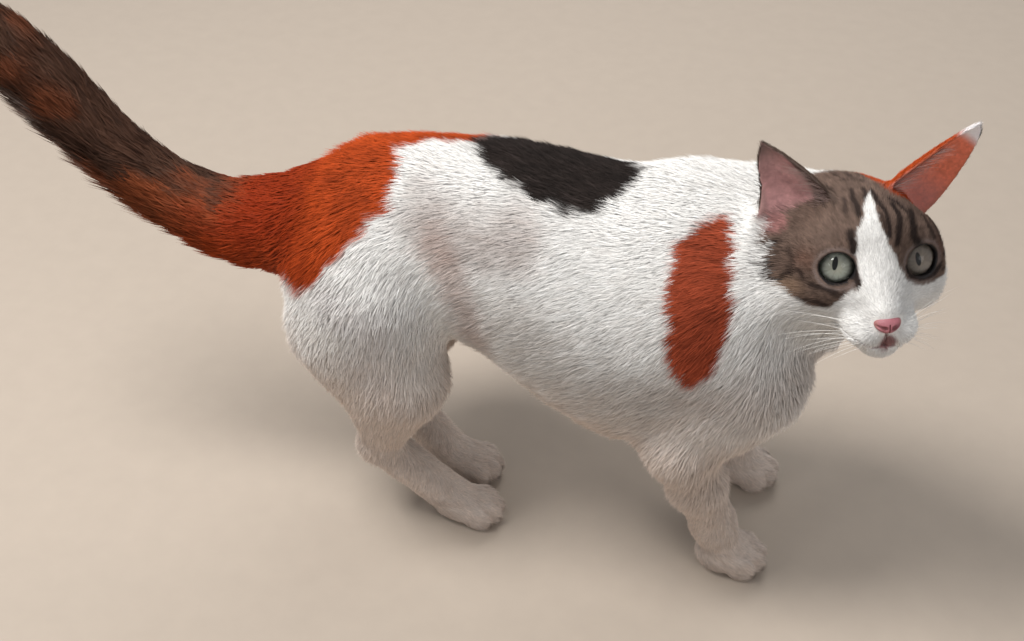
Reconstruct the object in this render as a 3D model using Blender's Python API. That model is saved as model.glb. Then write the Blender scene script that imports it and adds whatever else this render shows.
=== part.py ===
"""A life-size domestic shorthair cat that stands on all four paws, with its head turned to its right and its
tail raised behind it. The whole body is one smooth implicit form, made of named egg and cone shapes that are
blended together, and it is parted with thin cuts into the pieces that a person would name. Metres, +Z up. The
cat faces +X and its left side is at +Y. The origin is on the floor, under the middle of the bounding box."""

import itertools
import math

import bmesh
import bpy
import numpy as np
from mathutils import Matrix

GAP = 0.0003
MM = 0.001

# Trunk: sections from the front to the rump, as place, height of the middle, half width and half depth
TRUNK_SECTIONS = (
    (0.095, 0.178, 0.056, 0.070),
    (0.070, 0.174, 0.066, 0.081),
    (0.040, 0.171, 0.071, 0.087),
    (0.000, 0.173, 0.071, 0.085),
    (-0.040, 0.186, 0.065, 0.076),
    (-0.070, 0.198, 0.058, 0.067),
    (-0.100, 0.202, 0.052, 0.062),
    (-0.130, 0.202, 0.049, 0.058),
    (-0.155, 0.197, 0.045, 0.051),
    (-0.175, 0.190, 0.037, 0.042),
)
TRUNK_ENDS = (-0.160, 0.082)

# Head: its middle, the way it faces, and the size of the eyeball
HEAD_CENTRE = (0.128, -0.022, 0.248)
HEAD_TURN = -71.5
HEAD_LIFT = 18.5
HEAD_ROLL = -3.9
EYE_RADIUS = 11.0 * MM
EYE_PLACES = {-1: (20.0 * MM, -18.2 * MM, 3.0 * MM), 1: (19.8 * MM, 20.8 * MM, 1.8 * MM)}
EYE_SPLAY = 12.0
LID_THICKNESS = 1.5 * MM
EYE_HALF_LENGTH = 8.8 * MM
EYE_HALF_HEIGHT = 8.0 * MM
NOSE_PLACE = (46.0 * MM, 0.0, -22.5 * MM)

# Ears: root and tip in the head's own axes, and how far the cup is turned out from the front
EARS = {
    -1: ((-1 * MM, -25 * MM, 19 * MM), (2 * MM, -50 * MM, 62 * MM), 38.0),
    1: ((-3 * MM, 25 * MM, 22 * MM), (6 * MM, 61 * MM, 61 * MM), 34.0),
}
EAR_HALF_WIDTH = 19.5 * MM
EAR_DEPTH = 10 * MM
EAR_THICKNESS = (3.4 * MM, 1.8 * MM)
EAR_TIP_POWER = 0.66
EAR_CUT = 11 * MM
EAR_REGION = (0.030, 0.026, 0.026)

# Neck: middle and girth of each end of its two lengths
NECK_ROUTE = (((0.060, 0.0, 0.202), 0.055), ((0.097, 0.001, 0.217), 0.045), ((0.114, 0.004, 0.231), 0.036))

# Legs: where each paw stands
PAWS = {
    "front_right": (0.083, -0.032),
    "front_left": (0.083, 0.046),
    "hind_right": (-0.086, -0.032),
    "hind_left": (-0.096, 0.007),
}
ELBOW = (0.050, 0.050, 0.116)
SHOULDER = (0.085, 0.043, 0.165)
WRIST_HEIGHT = 0.037
KNEE = (-0.120, 0.045, 0.124)
HIP = (-0.135, 0.038, 0.178)
HOCK_BACK = 0.053
HOCK_HEIGHT = 0.064
SHOULDER_BLADE = ((0.070, 0.042, 0.180), (0.038, 0.023, 0.052), -24)
FRONT_GIRTHS = {"shoulder": 0.026, "elbow": 0.0208, "forearm": 0.0165, "wrist": 0.0128}
THIGH = ((-0.143, 0.035, 0.168), (0.047, 0.030, 0.062), 14)
BREECH = (((-0.155, 0.036, 0.150), 0.030), ((-0.138, 0.034, 0.100), 0.020))
HIND_GIRTHS = {"hip": 0.036, "knee": 0.0238, "hock": 0.0135, "heel": 0.0130}
FRONT_PAW = (0.037, 0.031, 0.026, 4)
HIND_PAW = (0.037, 0.029, 0.025, 2)
TOES_ACROSS = (-0.36, -0.125, 0.125, 0.36)
FRONT_CUT = 0.080
WRIST_CUT = 0.031
KNEE_CUT = 0.106
HOCK_CUT = 0.050

# Tail: its route in side view, as points along a smooth curve, and its girth there
TAIL_ROUTE = ((-0.150, 0.200), (-0.188, 0.194), (-0.232, 0.190), (-0.262, 0.199), (-0.290, 0.215),
              (-0.316, 0.238), (-0.337, 0.262), (-0.358, 0.284), (-0.382, 0.304), (-0.404, 0.317))
TAIL_GIRTH = (0.035, 0.034, 0.0280, 0.0235, 0.0215, 0.0215, 0.0220, 0.0215, 0.0190, 0.0110)
TAIL_CUTS = (-0.204, -0.276, -0.339)

# How far the fillet reaches where each part joins the rest
BLENDS = {"neck": 0.030, "tail": 0.030, "leg": 0.014, "head": 0.016}

# How finely each part is meshed, in metres, and how many triangles it keeps before it is cut
STEPS = {"trunk": 0.0040, "tail": 0.0032, "leg": 0.0026, "paw": 0.0017, "head": 0.00105, "ear": 0.00065,
         "nose": 0.0006}
TRIANGLES = {"torso": 3000, "neck": 1300, "tail_base": 1500, "tail_middle": 900, "tail_tip": 900,
             "upper": 1000, "lower": 460, "paw": 560, "head": 6200, "ear": 3200, "nose": 420,
             "nose_seat": 900}
BLOCK = 6
LEVEL_MARGIN = 1.5
FAR = 9.0
SHARP_ANGLE = 50

COLOURS = {
    "white_coat": (0.86, 0.84, 0.81),
    "orange_coat": (0.62, 0.20, 0.06),
    "dark_coat": (0.10, 0.075, 0.06),
    "tabby_coat": (0.24, 0.19, 0.16),
    "nose_skin": (0.66, 0.25, 0.25),
    "eye": (0.42, 0.47, 0.36),
}
ROUGHNESS = {"nose_skin": 0.45, "eye": 0.06}


def unit(vector):
    vector = np.asarray(vector, float)
    return vector / np.linalg.norm(vector)


def turned(x_axis, towards):
    """Three axes: the first given, the second as near as may be to the other direction."""
    x_axis = unit(x_axis)
    y_axis = unit(np.asarray(towards, float) - np.dot(towards, x_axis) * x_axis)
    return np.array([x_axis, y_axis, np.cross(x_axis, y_axis)])


def head_axes():
    """Forward, left and up of the head."""
    turn, lift, roll = (math.radians(a) for a in (HEAD_TURN, HEAD_LIFT, HEAD_ROLL))
    forward = np.array([math.cos(turn) * math.cos(lift), math.sin(turn) * math.cos(lift), math.sin(lift)])
    left = unit(np.cross((0, 0, 1), forward))
    up = np.cross(forward, left)
    return np.array([forward, math.cos(roll) * left - math.sin(roll) * up,
                     math.cos(roll) * up + math.sin(roll) * left])


HEAD_AXES = head_axes()


def to_head(points):
    return (points - np.array(HEAD_CENTRE)) @ HEAD_AXES.T


def from_head(point):
    return np.array(HEAD_CENTRE) + np.asarray(point, float) @ HEAD_AXES


def blend(a, b, reach):
    """The union of two forms, with a fillet of about this reach between them."""
    overlap = np.maximum(reach - np.abs(a - b), 0) / reach
    return np.minimum(a, b) - overlap * overlap * reach / 4


def cut_out(a, b, reach):
    """The first form without the second, with the edge rounded."""
    return -blend(-a, b, reach)


def egg(points, centre, radii, lean=0.0):
    """An ellipsoid, leaned nose down by this many degrees."""
    offset = points - np.array(centre)
    if lean:
        c, s = math.cos(math.radians(lean)), math.sin(math.radians(lean))
        offset = np.stack([offset[:, 0] * c - offset[:, 2] * s, offset[:, 1],
                           offset[:, 0] * s + offset[:, 2] * c], 1)
    radii = np.array(radii)
    near = np.linalg.norm(offset / radii, axis=1)
    far = np.linalg.norm(offset / radii**2, axis=1)
    return near * (near - 1) / np.maximum(far, 1e-9)


def cone(points, start, start_radius, end, end_radius):
    """A rod with round ends, from one radius to another."""
    start, end = np.array(start, float), np.array(end, float)
    along = end - start
    share = np.clip((points - start) @ along / (along @ along), 0, 1)
    nearest = start + share[:, None] * along
    return np.linalg.norm(points - nearest, axis=1) - start_radius - share * (end_radius - start_radius)


def smooth_route(points, count):
    """Points along the smooth curve through these ones."""
    points = np.asarray(points, float)
    ends = np.concatenate([2 * points[:1] - points[1:2], points, 2 * points[-1:] - points[-2:-1]])
    route = []
    for i in range(len(points) - 1):
        a, b, c, d = ends[i:i + 4]
        for t in np.arange(count) / count:
            route.append(0.5 * (2 * b + (c - a) * t + (2 * a - 5 * b + 4 * c - d) * t**2
                                + (3 * b - a - 3 * c + d) * t**3))
    return np.array(route + [points[-1]])


def sided(point, side):
    return (point[0], side * point[1], point[2])


# Egg shapes that join the trunk's sections: middle, radii, lean and blend
TRUNK_EGGS = {
    "breast": ((0.076, 0, 0.156), (0.039, 0.045, 0.056), -12, 0.03),
    "withers": ((0.046, 0, 0.212), (0.050, 0.034, 0.042), 0, 0.03),
    "rump": ((-0.150, 0, 0.192), (0.042, 0.042, 0.046), 10, 0.03),
}


def trunk(points):
    """A body through the sections, with egg shapes at its ends."""
    table = smooth_route(TRUNK_SECTIONS[::-1], 12)
    middle, half_width, half_depth = (np.interp(points[:, 0], table[:, 0], table[:, i]) for i in (1, 2, 3))
    reach = np.hypot(points[:, 1] / half_width, (points[:, 2] - middle) / half_depth)
    form = (reach - 1) * half_width
    form = np.maximum(form, np.maximum(TRUNK_ENDS[0] - points[:, 0], points[:, 0] - TRUNK_ENDS[1]))
    for centre, radii, lean, blend_reach in TRUNK_EGGS.values():
        form = blend(form, egg(points, centre, radii, lean), blend_reach)
    return form


def neck(points):
    """Round lengths from between the shoulders to the back of the head."""
    start, middle, end = NECK_ROUTE
    return blend(cone(points, *start, *middle), cone(points, *middle, *end), 0.02)


def paw(points, place, long, wide, tall, turn=0.0):
    """A paw with four toes. It reaches a little below the floor, where a flat is cut."""
    c, s = math.cos(math.radians(turn)), math.sin(math.radians(turn))
    local = points - np.array([place[0], place[1], 0])
    local = np.stack([local[:, 0] * c + local[:, 1] * s, local[:, 1] * c - local[:, 0] * s, local[:, 2]], 1)
    form = egg(local, (0, 0, tall * 0.45), (long * 0.52, wide * 0.47, tall * 0.52))
    toes = np.full(len(points), FAR)
    for place_across in TOES_ACROSS:
        middle = abs(place_across) < 0.2
        forward = long * (0.42 if middle else 0.27)
        toe = egg(local, (forward, place_across * wide, tall * 0.34),
                  (long * 0.24, wide * 0.155, tall * (0.42 if middle else 0.38)), 14)
        toes = blend(toes, toe, 0.0012)
    return blend(form, toes, 0.004)


def front_leg(points, name, side):
    """The shoulder blade, upper arm, forearm, wrist and paw."""
    x, y = PAWS[name]
    elbow, shoulder = sided(ELBOW, side), sided(SHOULDER, side)
    wrist = (x - 0.010, y + side * 0.002, WRIST_HEIGHT)
    girth = FRONT_GIRTHS
    middle = tuple(np.array(elbow) * 0.55 + np.array(wrist) * 0.45)
    blade, blade_radii, blade_lean = SHOULDER_BLADE
    form = egg(points, sided(blade, side), blade_radii, blade_lean)
    form = blend(form, cone(points, shoulder, girth["shoulder"], elbow, girth["elbow"]), 0.02)
    form = blend(form, cone(points, elbow, girth["elbow"], middle, girth["forearm"]), 0.012)
    form = blend(form, cone(points, middle, girth["forearm"], wrist, girth["wrist"]), 0.010)
    form = blend(form, cone(points, wrist, girth["wrist"], (x - 0.002, y, 0.016), girth["wrist"]), 0.008)
    long, wide, tall, turn = FRONT_PAW
    return blend(form, paw(points, (x, y), long, wide, tall, -side * turn), 0.006)


def hind_leg(points, name, side):
    """The thigh with the fur behind it, the lower leg down to the hock, the heel and the paw."""
    x, y = PAWS[name]
    knee, hip = sided(KNEE, side), sided(HIP, side)
    hock = (x - HOCK_BACK, y + side * 0.006, HOCK_HEIGHT)
    heel = (hock[0] - 0.001, hock[1], hock[2] - 0.004)
    girth = HIND_GIRTHS
    thigh, thigh_radii, thigh_lean = THIGH
    (upper, upper_girth), (lower, lower_girth) = BREECH
    form = egg(points, sided(thigh, side), thigh_radii, thigh_lean)
    form = blend(form, cone(points, hip, girth["hip"], knee, girth["knee"]), 0.02)
    form = blend(form, cone(points, sided(upper, side), upper_girth, sided(lower, side), lower_girth), 0.02)
    form = blend(form, cone(points, knee, girth["knee"], hock, girth["hock"]), 0.02)
    form = blend(form, cone(points, heel, girth["heel"], (x - 0.012, y, 0.018), girth["heel"]), 0.008)
    long, wide, tall, turn = HIND_PAW
    return blend(form, paw(points, (x, y), long, wide, tall, -side * turn), 0.006)


def tail(points):
    """Round lengths along the route."""
    route = smooth_route([(x, 0, z, r) for (x, z), r in zip(TAIL_ROUTE, TAIL_GIRTH)], 3)
    form = np.full(len(points), FAR)
    for start, end in zip(route[:-1], route[1:]):
        form = np.minimum(form, cone(points, start[:3], start[3], end[:3], end[3]))
    return form


# Egg shapes of the skull and face in millimetres, in the head's own axes: middle, radii, lean and blend.
# One off the middle is made on both sides.
SKULL = {
    "cranium": ((-7, 0, 7), (37, 34, 30), 0, 6),
    "forehead": ((13, 0, 13), (21, 25, 21), 0, 12),
    "cheek": ((3, 22, -11), (25, 20, 22), 0, 12),
    "jowl": ((-4, 27, -15), (20, 15, 19), 0, 12),
    "face": ((24, 0, -14), (19, 18, 20), 0, 14),
    "cheekbone": ((17, 24, -9), (13, 11, 11), 0, 10),
    "brow": ((19, 16, 15), (11, 11, 9), 0, 10),
    "temple": ((8, 26, 4), (17, 12, 13), 0, 10),
    "brow_end": ((16, 24, 11), (12, 9, 9), 0, 8),
    "muzzle": ((34.0, 8.0, -28.0), (13.0, 10.5, 9.5), 12, 6),
    "chin": ((31, 0, -38.5), (11, 9.5, 7.0), 0, 7),
    "throat": ((2, 0, -28), (28, 20, 16), 0, 14),
}
NOSE_BRIDGE = ((18, 0, 8), 12.5, (41.5, 0, -17.5), 7.5)


def eye_centre(side):
    return np.array(EYE_PLACES[side])


def eye_axes(side):
    """Out of the eye, outwards along the lids, and up, in the head's own axes."""
    splay = math.radians(EYE_SPLAY) * side
    out = unit((math.cos(splay), math.sin(splay), 0.06))
    along = unit((-math.sin(splay) * side, math.cos(splay) * side, 0.16))
    along = unit(along - np.dot(along, out) * out)
    return out, along, np.cross(out, along) * side


def eye_opening(local, side):
    """How far a point lies outside the almond between the lids, in front of the eye's middle."""
    out, along, up = eye_axes(side)
    offset = local - eye_centre(side)
    radius = (EYE_HALF_LENGTH**2 + EYE_HALF_HEIGHT**2) / (2 * EYE_HALF_HEIGHT)
    drop = radius - EYE_HALF_HEIGHT
    across, above = offset @ along, offset @ up
    upper = np.hypot(across, above + drop) - radius
    lower = np.hypot(across, above - drop) - radius
    return np.maximum(np.maximum(upper, lower), 2 * MM - offset @ out)


def mouth_line(local):
    """How far a point lies from the sheet that parts the lips, which curls up to a corner on each side."""
    across = np.abs(local[:, 1]) / MM
    height = -34.5 - 2.3 * np.sin(np.clip(across / 12, 0, 1) * math.pi) + 0.018 * across**2
    return np.abs(local[:, 2] - height * MM)


def skull(local):
    """The skull and face, blended from their egg shapes and the bridge of the nose."""
    form = np.full(len(local), FAR)
    for centre, radii, lean, reach in SKULL.values():
        sides = (1, -1) if centre[1] else (1,)
        for side in sides:
            shape = egg(local, np.array(sided(centre, side)) * MM, np.array(radii) * MM, lean)
            form = blend(form, shape, reach * MM)
    start, start_radius, end, end_radius = NOSE_BRIDGE
    bridge = cone(local, np.array(start) * MM, start_radius * MM, np.array(end) * MM, end_radius * MM)
    return blend(form, bridge, 8 * MM)


def face_lines(form, local):
    """The line of the mouth and the groove under the nose, pressed into the surface."""
    forward, across, height = local.T
    depth = form + 2.2 * MM
    lips = np.maximum(mouth_line(local) - 0.7 * MM, np.maximum(23 * MM - forward, np.abs(across) - 18 * MM))
    groove = np.maximum(np.abs(across) - 0.7 * MM, np.maximum(height + 26.5 * MM, -36 * MM - height))
    groove = np.maximum(groove, 36 * MM - forward)
    for line in (lips, groove):
        form = cut_out(form, np.maximum(line, -depth), 0.6 * MM)
    return form


def ear_axes(side):
    root, tip, turn = EARS[side]
    root, tip, turn = np.array(root), np.array(tip), math.radians(turn)
    return root, np.linalg.norm(tip - root), turned(tip - root, (math.cos(turn), side * math.sin(turn), 0))


def ear(local, side):
    """A leaf with a round tip, bent into a cup that opens forwards and out."""
    root, length, axes = ear_axes(side)
    up, out, across = (axes @ (local - root).T)
    share = np.clip(up / length, -0.4, 1)
    half = EAR_HALF_WIDTH * np.clip(1 - np.maximum(share, 0) ** 1.4, 0, 1) ** EAR_TIP_POWER + 0.9 * MM
    depth = EAR_DEPTH * (1 - 0.75 * share)
    bent = depth * (across / half) ** 2 - depth
    slope = 2 * depth * across / half**2
    at_root, at_tip = EAR_THICKNESS
    thick = (at_root - (at_root - at_tip) * np.maximum(share, 0)) / 2
    sheet = np.abs(out - bent) / np.sqrt(1 + slope**2) - thick
    edge = np.abs(across) - half
    ends = np.maximum(up - length, -0.35 * length - up)
    return np.maximum(-blend(-sheet, -edge, 2.4 * MM), ends)


def head(points):
    """The skull with its lids and ears, and the openings of the eyes and mouth."""
    local = to_head(points)
    form = skull(local)
    for side in (1, -1):
        lids = np.linalg.norm(local - eye_centre(side), axis=1) - EYE_RADIUS - LID_THICKNESS
        form = blend(form, lids, 3.0 * MM)
        form = blend(form, ear(local, side), 5.0 * MM)
    form = face_lines(form, local)
    for side in (1, -1):
        form = cut_out(form, eye_opening(local, side), 0.8 * MM)
    return form


def body(points):
    """The trunk with the neck, tail and legs."""
    form = blend(trunk(points), neck(points), BLENDS["neck"])
    form = blend(form, tail(points), BLENDS["tail"])
    for name in PAWS:
        side = -1 if name.endswith("right") else 1
        leg = front_leg if name.startswith("front") else hind_leg
        form = blend(form, leg(points, name, side), BLENDS["leg"])
    return form


def whole(points):
    return blend(body(points), skull(to_head(points)), BLENDS["head"])


def whole_with_face(points):
    """The whole cat, with the ears, the lids and the mouth."""
    return blend(body(points), head(points), BLENDS["head"])


def nose_pad(local, grown=0.0):
    """The bare end of the nose, wider at its top, with a nostril on each side."""
    offset = (local - np.array(NOSE_PLACE)) / MM
    taper = 1 + 0.045 * np.clip(offset[:, 2], -6, 4)
    shaped = np.stack([offset[:, 0], offset[:, 1] / taper, offset[:, 2]], 1)
    form = egg(shaped, (0, 0, 0), (5.0, 6.6, 4.6), 18) * MM * 0.9
    return form - grown


def nose(local):
    """The pad with a curled nostril on each side."""
    form = nose_pad(local)
    for side in (1, -1):
        place = np.array(NOSE_PLACE) + np.array((4.6, side * 2.2, -1.0)) * MM
        end = np.array(NOSE_PLACE) + np.array((2.0, side * 6.6, 0.4)) * MM
        form = cut_out(form, cone(local, place, 1.25 * MM, end, 0.7 * MM), 0.5 * MM)
    return form


TETS = []
for order in itertools.permutations(range(3)):
    corners = [(0, 0, 0)]
    for axis in order:
        corner = list(corners[-1])
        corner[axis] = 1
        corners.append(tuple(corner))
    if order not in ((0, 1, 2), (1, 2, 0), (2, 0, 1)):
        corners[1], corners[2] = corners[2], corners[1]
    TETS.append(corners)
FIRST = {1: (0, 1, 2, 3), 2: (1, 0, 3, 2), 4: (2, 0, 1, 3), 8: (3, 0, 2, 1)}
PAIRS = {3: (0, 1, 2, 3), 5: (0, 2, 3, 1), 9: (0, 3, 1, 2),
         6: (1, 2, 0, 3), 10: (1, 3, 2, 0), 12: (2, 3, 0, 1)}


def blocks_near_surface(field, low, step, counts):
    """The corners, as whole steps, of the blocks of cells that the surface may cross."""
    index = np.stack(np.meshgrid(*[np.arange(0, n, BLOCK) for n in counts], indexing="ij"), -1)
    index = index.reshape(-1, 3)
    level = field(low + (index + BLOCK / 2) * step)
    reach = LEVEL_MARGIN * BLOCK * step * math.sqrt(3) / 2
    at_edge = ((index == 0) | (index == np.array(counts) - BLOCK)).any(axis=1)
    return index[(np.abs(level) < reach) | (at_edge & (level < reach))]


def tetrahedra(field, low, step, counts):
    """Values and point numbers at the corners of each tetrahedron that the surface crosses."""
    starts = blocks_near_surface(field, low, step, counts)
    offsets = np.stack(np.meshgrid(*[np.arange(BLOCK + 1)] * 3, indexing="ij"), -1)
    index = starts[:, None, None, None, :] + offsets[None]
    flat = index.reshape(-1, 3)
    values = field(low + flat * step)
    outside = ((flat == 0) | (flat == np.array(counts))).any(axis=1)
    values = np.where(outside, np.maximum(values, step * 0.5), values)
    values = np.where(np.abs(values) < 1e-9, 1e-9, values).reshape(index.shape[:-1])
    sizes = np.array(counts) + 1
    numbers = (index[..., 0] * sizes[1] + index[..., 1]) * sizes[2] + index[..., 2]
    all_values, all_numbers = [], []
    for corners in TETS:
        pick = [(slice(None),) + tuple(slice(c, BLOCK + c) for c in corner) for corner in corners]
        tet_values = np.stack([values[p].reshape(-1) for p in pick], 1)
        tet_numbers = np.stack([numbers[p].reshape(-1) for p in pick], 1)
        crossed = (tet_values < 0).any(axis=1) & (tet_values > 0).any(axis=1)
        all_values.append(tet_values[crossed])
        all_numbers.append(tet_numbers[crossed])
    return np.concatenate(all_values), np.concatenate(all_numbers), sizes


def surface(field, low, high, step):
    """Points and triangles of the form where the field is below zero, closed where the box cuts it."""
    low, high = np.array(low, float), np.array(high, float)
    counts = [int(math.ceil(n / step / BLOCK)) * BLOCK for n in high - low]
    values, numbers, sizes = tetrahedra(field, low, step, counts)
    code = (values < 0) @ np.array([1, 2, 4, 8])
    edges = []
    levels = []

    def add(rows, triples):
        """Each corner of a triangle lies on the edge between two corners of the tetrahedron."""
        for triple in triples:
            for found, source in ((edges, numbers), (levels, values)):
                ends = [np.stack([source[rows, a], source[rows, b]], 1) for a, b in triple]
                found.append(np.stack(ends, 1))

    for case, (a, b, c, d) in FIRST.items():
        add(code == case, [((a, b), (a, c), (a, d))])
        add(code == 15 - case, [((a, b), (a, d), (a, c))])
    for case, (a, b, c, d) in PAIRS.items():
        add(code == case, [((a, c), (a, d), (b, d)), ((a, c), (b, d), (b, c))])
    ends = np.concatenate(edges).reshape(-1, 2)
    levels = np.concatenate(levels).reshape(-1, 2)
    turned_round = ends[:, 0] > ends[:, 1]
    ends[turned_round] = ends[turned_round, ::-1]
    levels[turned_round] = levels[turned_round, ::-1]
    keys = ends[:, 0] * int(sizes.prod()) + ends[:, 1]
    _, first, corners = np.unique(keys, return_index=True, return_inverse=True)
    share = np.clip(levels[first, 0] / (levels[first, 0] - levels[first, 1]), 0.03, 0.97)[:, None]
    places = []
    for number in ends[first].T:
        column, along = np.divmod(number, sizes[2])
        index = np.stack([column // sizes[1], column % sizes[1], along], 1)
        places.append(low + index * step)
    return places[0] * (1 - share) + places[1] * share, corners.reshape(-1, 3)


def new_object(name, points, faces):
    mesh = bpy.data.meshes.new(name)
    mesh.from_pydata([tuple(p) for p in points], [], [tuple(int(i) for i in f) for f in faces])
    mesh.update()
    obj = bpy.data.objects.new(name, mesh)
    bpy.context.scene.collection.objects.link(obj)
    return obj


def apply_modifiers(obj):
    graph = bpy.context.evaluated_depsgraph_get()
    mesh = bpy.data.meshes.new_from_object(obj.evaluated_get(graph))
    obj.modifiers.clear()
    old, obj.data = obj.data, mesh
    bpy.data.meshes.remove(old)


def thin_out(obj, triangles):
    """No more than this many triangles."""
    count = len(obj.data.polygons)
    if count > triangles:
        modifier = obj.modifiers.new("fewer", "DECIMATE")
        modifier.ratio = triangles / count
        modifier.use_collapse_triangulate = True
        apply_modifiers(obj)


def keep_largest(obj):
    """Only the largest connected surface stays."""
    work = bmesh.new()
    work.from_mesh(obj.data)
    left = set(work.verts)
    groups = []
    while left:
        stack = [left.pop()]
        group = list(stack)
        while stack:
            for edge in stack.pop().link_edges:
                for vert in edge.verts:
                    if vert in left:
                        left.remove(vert)
                        group.append(vert)
                        stack.append(vert)
        groups.append(group)
    groups.sort(key=len)
    for group in groups[:-1]:
        bmesh.ops.delete(work, geom=group, context="VERTS")
    work.to_mesh(obj.data)
    work.free()


def boolean(obj, other, operation):
    modifier = obj.modifiers.new("cut", "BOOLEAN")
    modifier.operation = operation
    modifier.solver = "EXACT"
    modifier.object = other
    apply_modifiers(obj)


def box_cutter(region, grown):
    """A box with its own axes, each face moved out by this much."""
    centre, axes, half = region
    half = np.array(half) + grown
    corners = [centre + (np.array(signs) * half) @ axes for signs in itertools.product((-1, 1), repeat=3)]
    quads = [(0, 1, 3, 2), (4, 6, 7, 5), (0, 4, 5, 1), (2, 3, 7, 6), (0, 2, 6, 4), (1, 5, 7, 3)]
    cutter = new_object("cutter", corners, quads)
    cutter.hide_render = True
    cutter.display_type = "WIRE"
    work = bmesh.new()
    work.from_mesh(cutter.data)
    bmesh.ops.recalc_face_normals(work, faces=work.faces)
    work.to_mesh(cutter.data)
    work.free()
    return cutter


def limit(obj, inside=None, outside=()):
    """What lies in one region and in none of the others, with half the gap at each face."""
    cuts = [(inside, "INTERSECT", -GAP / 2)] if inside else []
    cuts += [(region, "DIFFERENCE", GAP / 2) for region in outside]
    for region, operation, grown in cuts:
        cutter = box_cutter(region, grown)
        boolean(obj, cutter, operation)
        bpy.data.objects.remove(cutter)
    keep_largest(obj)
    return obj


def region_between(low, high, axes=None):
    """A box between two corners, given along its own axes."""
    axes = np.eye(3) if axes is None else axes
    low, high = np.array(low, float), np.array(high, float)
    return ((low + high) / 2) @ axes, axes, (high - low) / 2


def slab(point, normal, towards, half, depth):
    """A box whose first face passes through a point, and which lies on the side that the normal shows."""
    axes = turned(normal, towards)
    return np.array(point) + axes[0] * depth / 2, axes, np.array((depth / 2, half[0], half[1]))


def head_region():
    """From the back of the skull and the angle of the jaw to past the nose and the ears."""
    centre, axes, half = slab((0.103, 0.004, 0.226), (0.75, -0.50, 0.43), (0, 0, 1), (0.08, 0.09), 0.16)
    return centre + axes[1] * (half[1] - 0.048), axes, half


def neck_region():
    return slab((0.086, 0.0, 0.214), (0.85, 0.0, 0.526), (0, 0, 1), (0.080, 0.070), 0.13)


def ear_region(side):
    root, _, axes = ear_axes(side)
    axes = axes @ HEAD_AXES
    half = np.array(EAR_REGION)
    return from_head(root) + axes[0] * (half[0] + EAR_CUT), axes, half


def shoulder_region(side):
    """From beside the withers down past the elbow."""
    return slab((0.066, side * 0.041, 0.140), (0, side * 0.96, -0.28), (0, 0, 1), (0.080, 0.050), 0.09)


def haunch_region(side):
    """From beside the hip down past the knee."""
    return slab((-0.144, side * 0.016, 0.145), (0, side * 0.93, -0.37), (0, 0, 1), (0.086, 0.066), 0.10)


def tail_region(number):
    """The lengths of the tail are parted square to it."""
    route = smooth_route(TAIL_ROUTE, 20)
    place = int(np.argmin(np.abs(route[:, 0] - TAIL_CUTS[number])))
    ahead = route[place + 1] - route[place - 1]
    start = (route[place][0], 0, route[place][1])
    return slab(start, (ahead[0], 0, ahead[1]), (0, 1, 0), (0.06, 0.06), 0.26)


def material(name):
    if name in bpy.data.materials:
        return bpy.data.materials[name]
    made = bpy.data.materials.new(name)
    made.use_nodes = True
    shader = made.node_tree.nodes["Principled BSDF"]
    shader.inputs["Base Color"].default_value = (*COLOURS[name], 1)
    shader.inputs["Roughness"].default_value = ROUGHNESS.get(name, 0.85)
    shader.inputs["Metallic"].default_value = 0.0
    return made


def finish(obj, name, coat):
    obj.name = name
    obj.data.name = name
    obj.data.materials.clear()
    obj.data.materials.append(material(coat))
    obj.data.shade_smooth()
    obj.data.set_sharp_from_angle(angle=math.radians(SHARP_ANGLE))


def carve(name, field, box, step, triangles, coat, inside=None, outside=()):
    """One node: the form is meshed in a box, thinned out and cut to its regions."""
    obj = new_object(name, *surface(field, *box, step))
    thin_out(obj, triangles)
    limit(obj, inside, outside)
    finish(obj, name, coat)
    return obj


def eyeball(side, grown):
    """A ball with the low dome of its cornea."""
    out, _, _ = eye_axes(side)
    work = bmesh.new()
    bmesh.ops.create_icosphere(work, subdivisions=3, radius=1)
    points = []
    for vert in work.verts:
        direction = np.array(vert.co)
        dome = max(0.0, float(direction @ out) - 0.72) / 0.28
        radius = EYE_RADIUS + grown + 1.1 * MM * dome * dome * (3 - 2 * dome)
        points.append(from_head(eye_centre(side) + direction * radius))
    faces = [[vert.index for vert in face.verts] for face in work.faces]
    work.free()
    return new_object("eyeball", points, faces)


def eye_parts():
    """The eyeballs, and the hollow in the head that each lies in."""
    for word, side in (("right", -1), ("left", 1)):
        seat = eyeball(side, 1.2 * GAP)
        boolean(bpy.data.objects["head"], seat, "DIFFERENCE")
        bpy.data.objects.remove(seat)
        finish(eyeball(side, 0.0), "eye_" + word, "eye")


def nose_part():
    """The nose, and its seat in the head."""
    corners = np.array([from_head(np.array(NOSE_PLACE) + np.array(s) * 9 * MM)
                        for s in itertools.product((-1, 1), repeat=3)])
    low, high = corners.min(axis=0), corners.max(axis=0)
    obj = new_object("nose", *surface(lambda p: nose(to_head(p)), low, high, STEPS["nose"]))
    thin_out(obj, TRIANGLES["nose"])
    keep_largest(obj)
    finish(obj, "nose", "nose_skin")
    seat = new_object("seat", *surface(lambda p: nose_pad(to_head(p), GAP * 1.5), low, high, STEPS["nose"]))
    thin_out(seat, TRIANGLES["nose_seat"])
    boolean(bpy.data.objects["head"], seat, "DIFFERENCE")
    bpy.data.objects.remove(seat)


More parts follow.
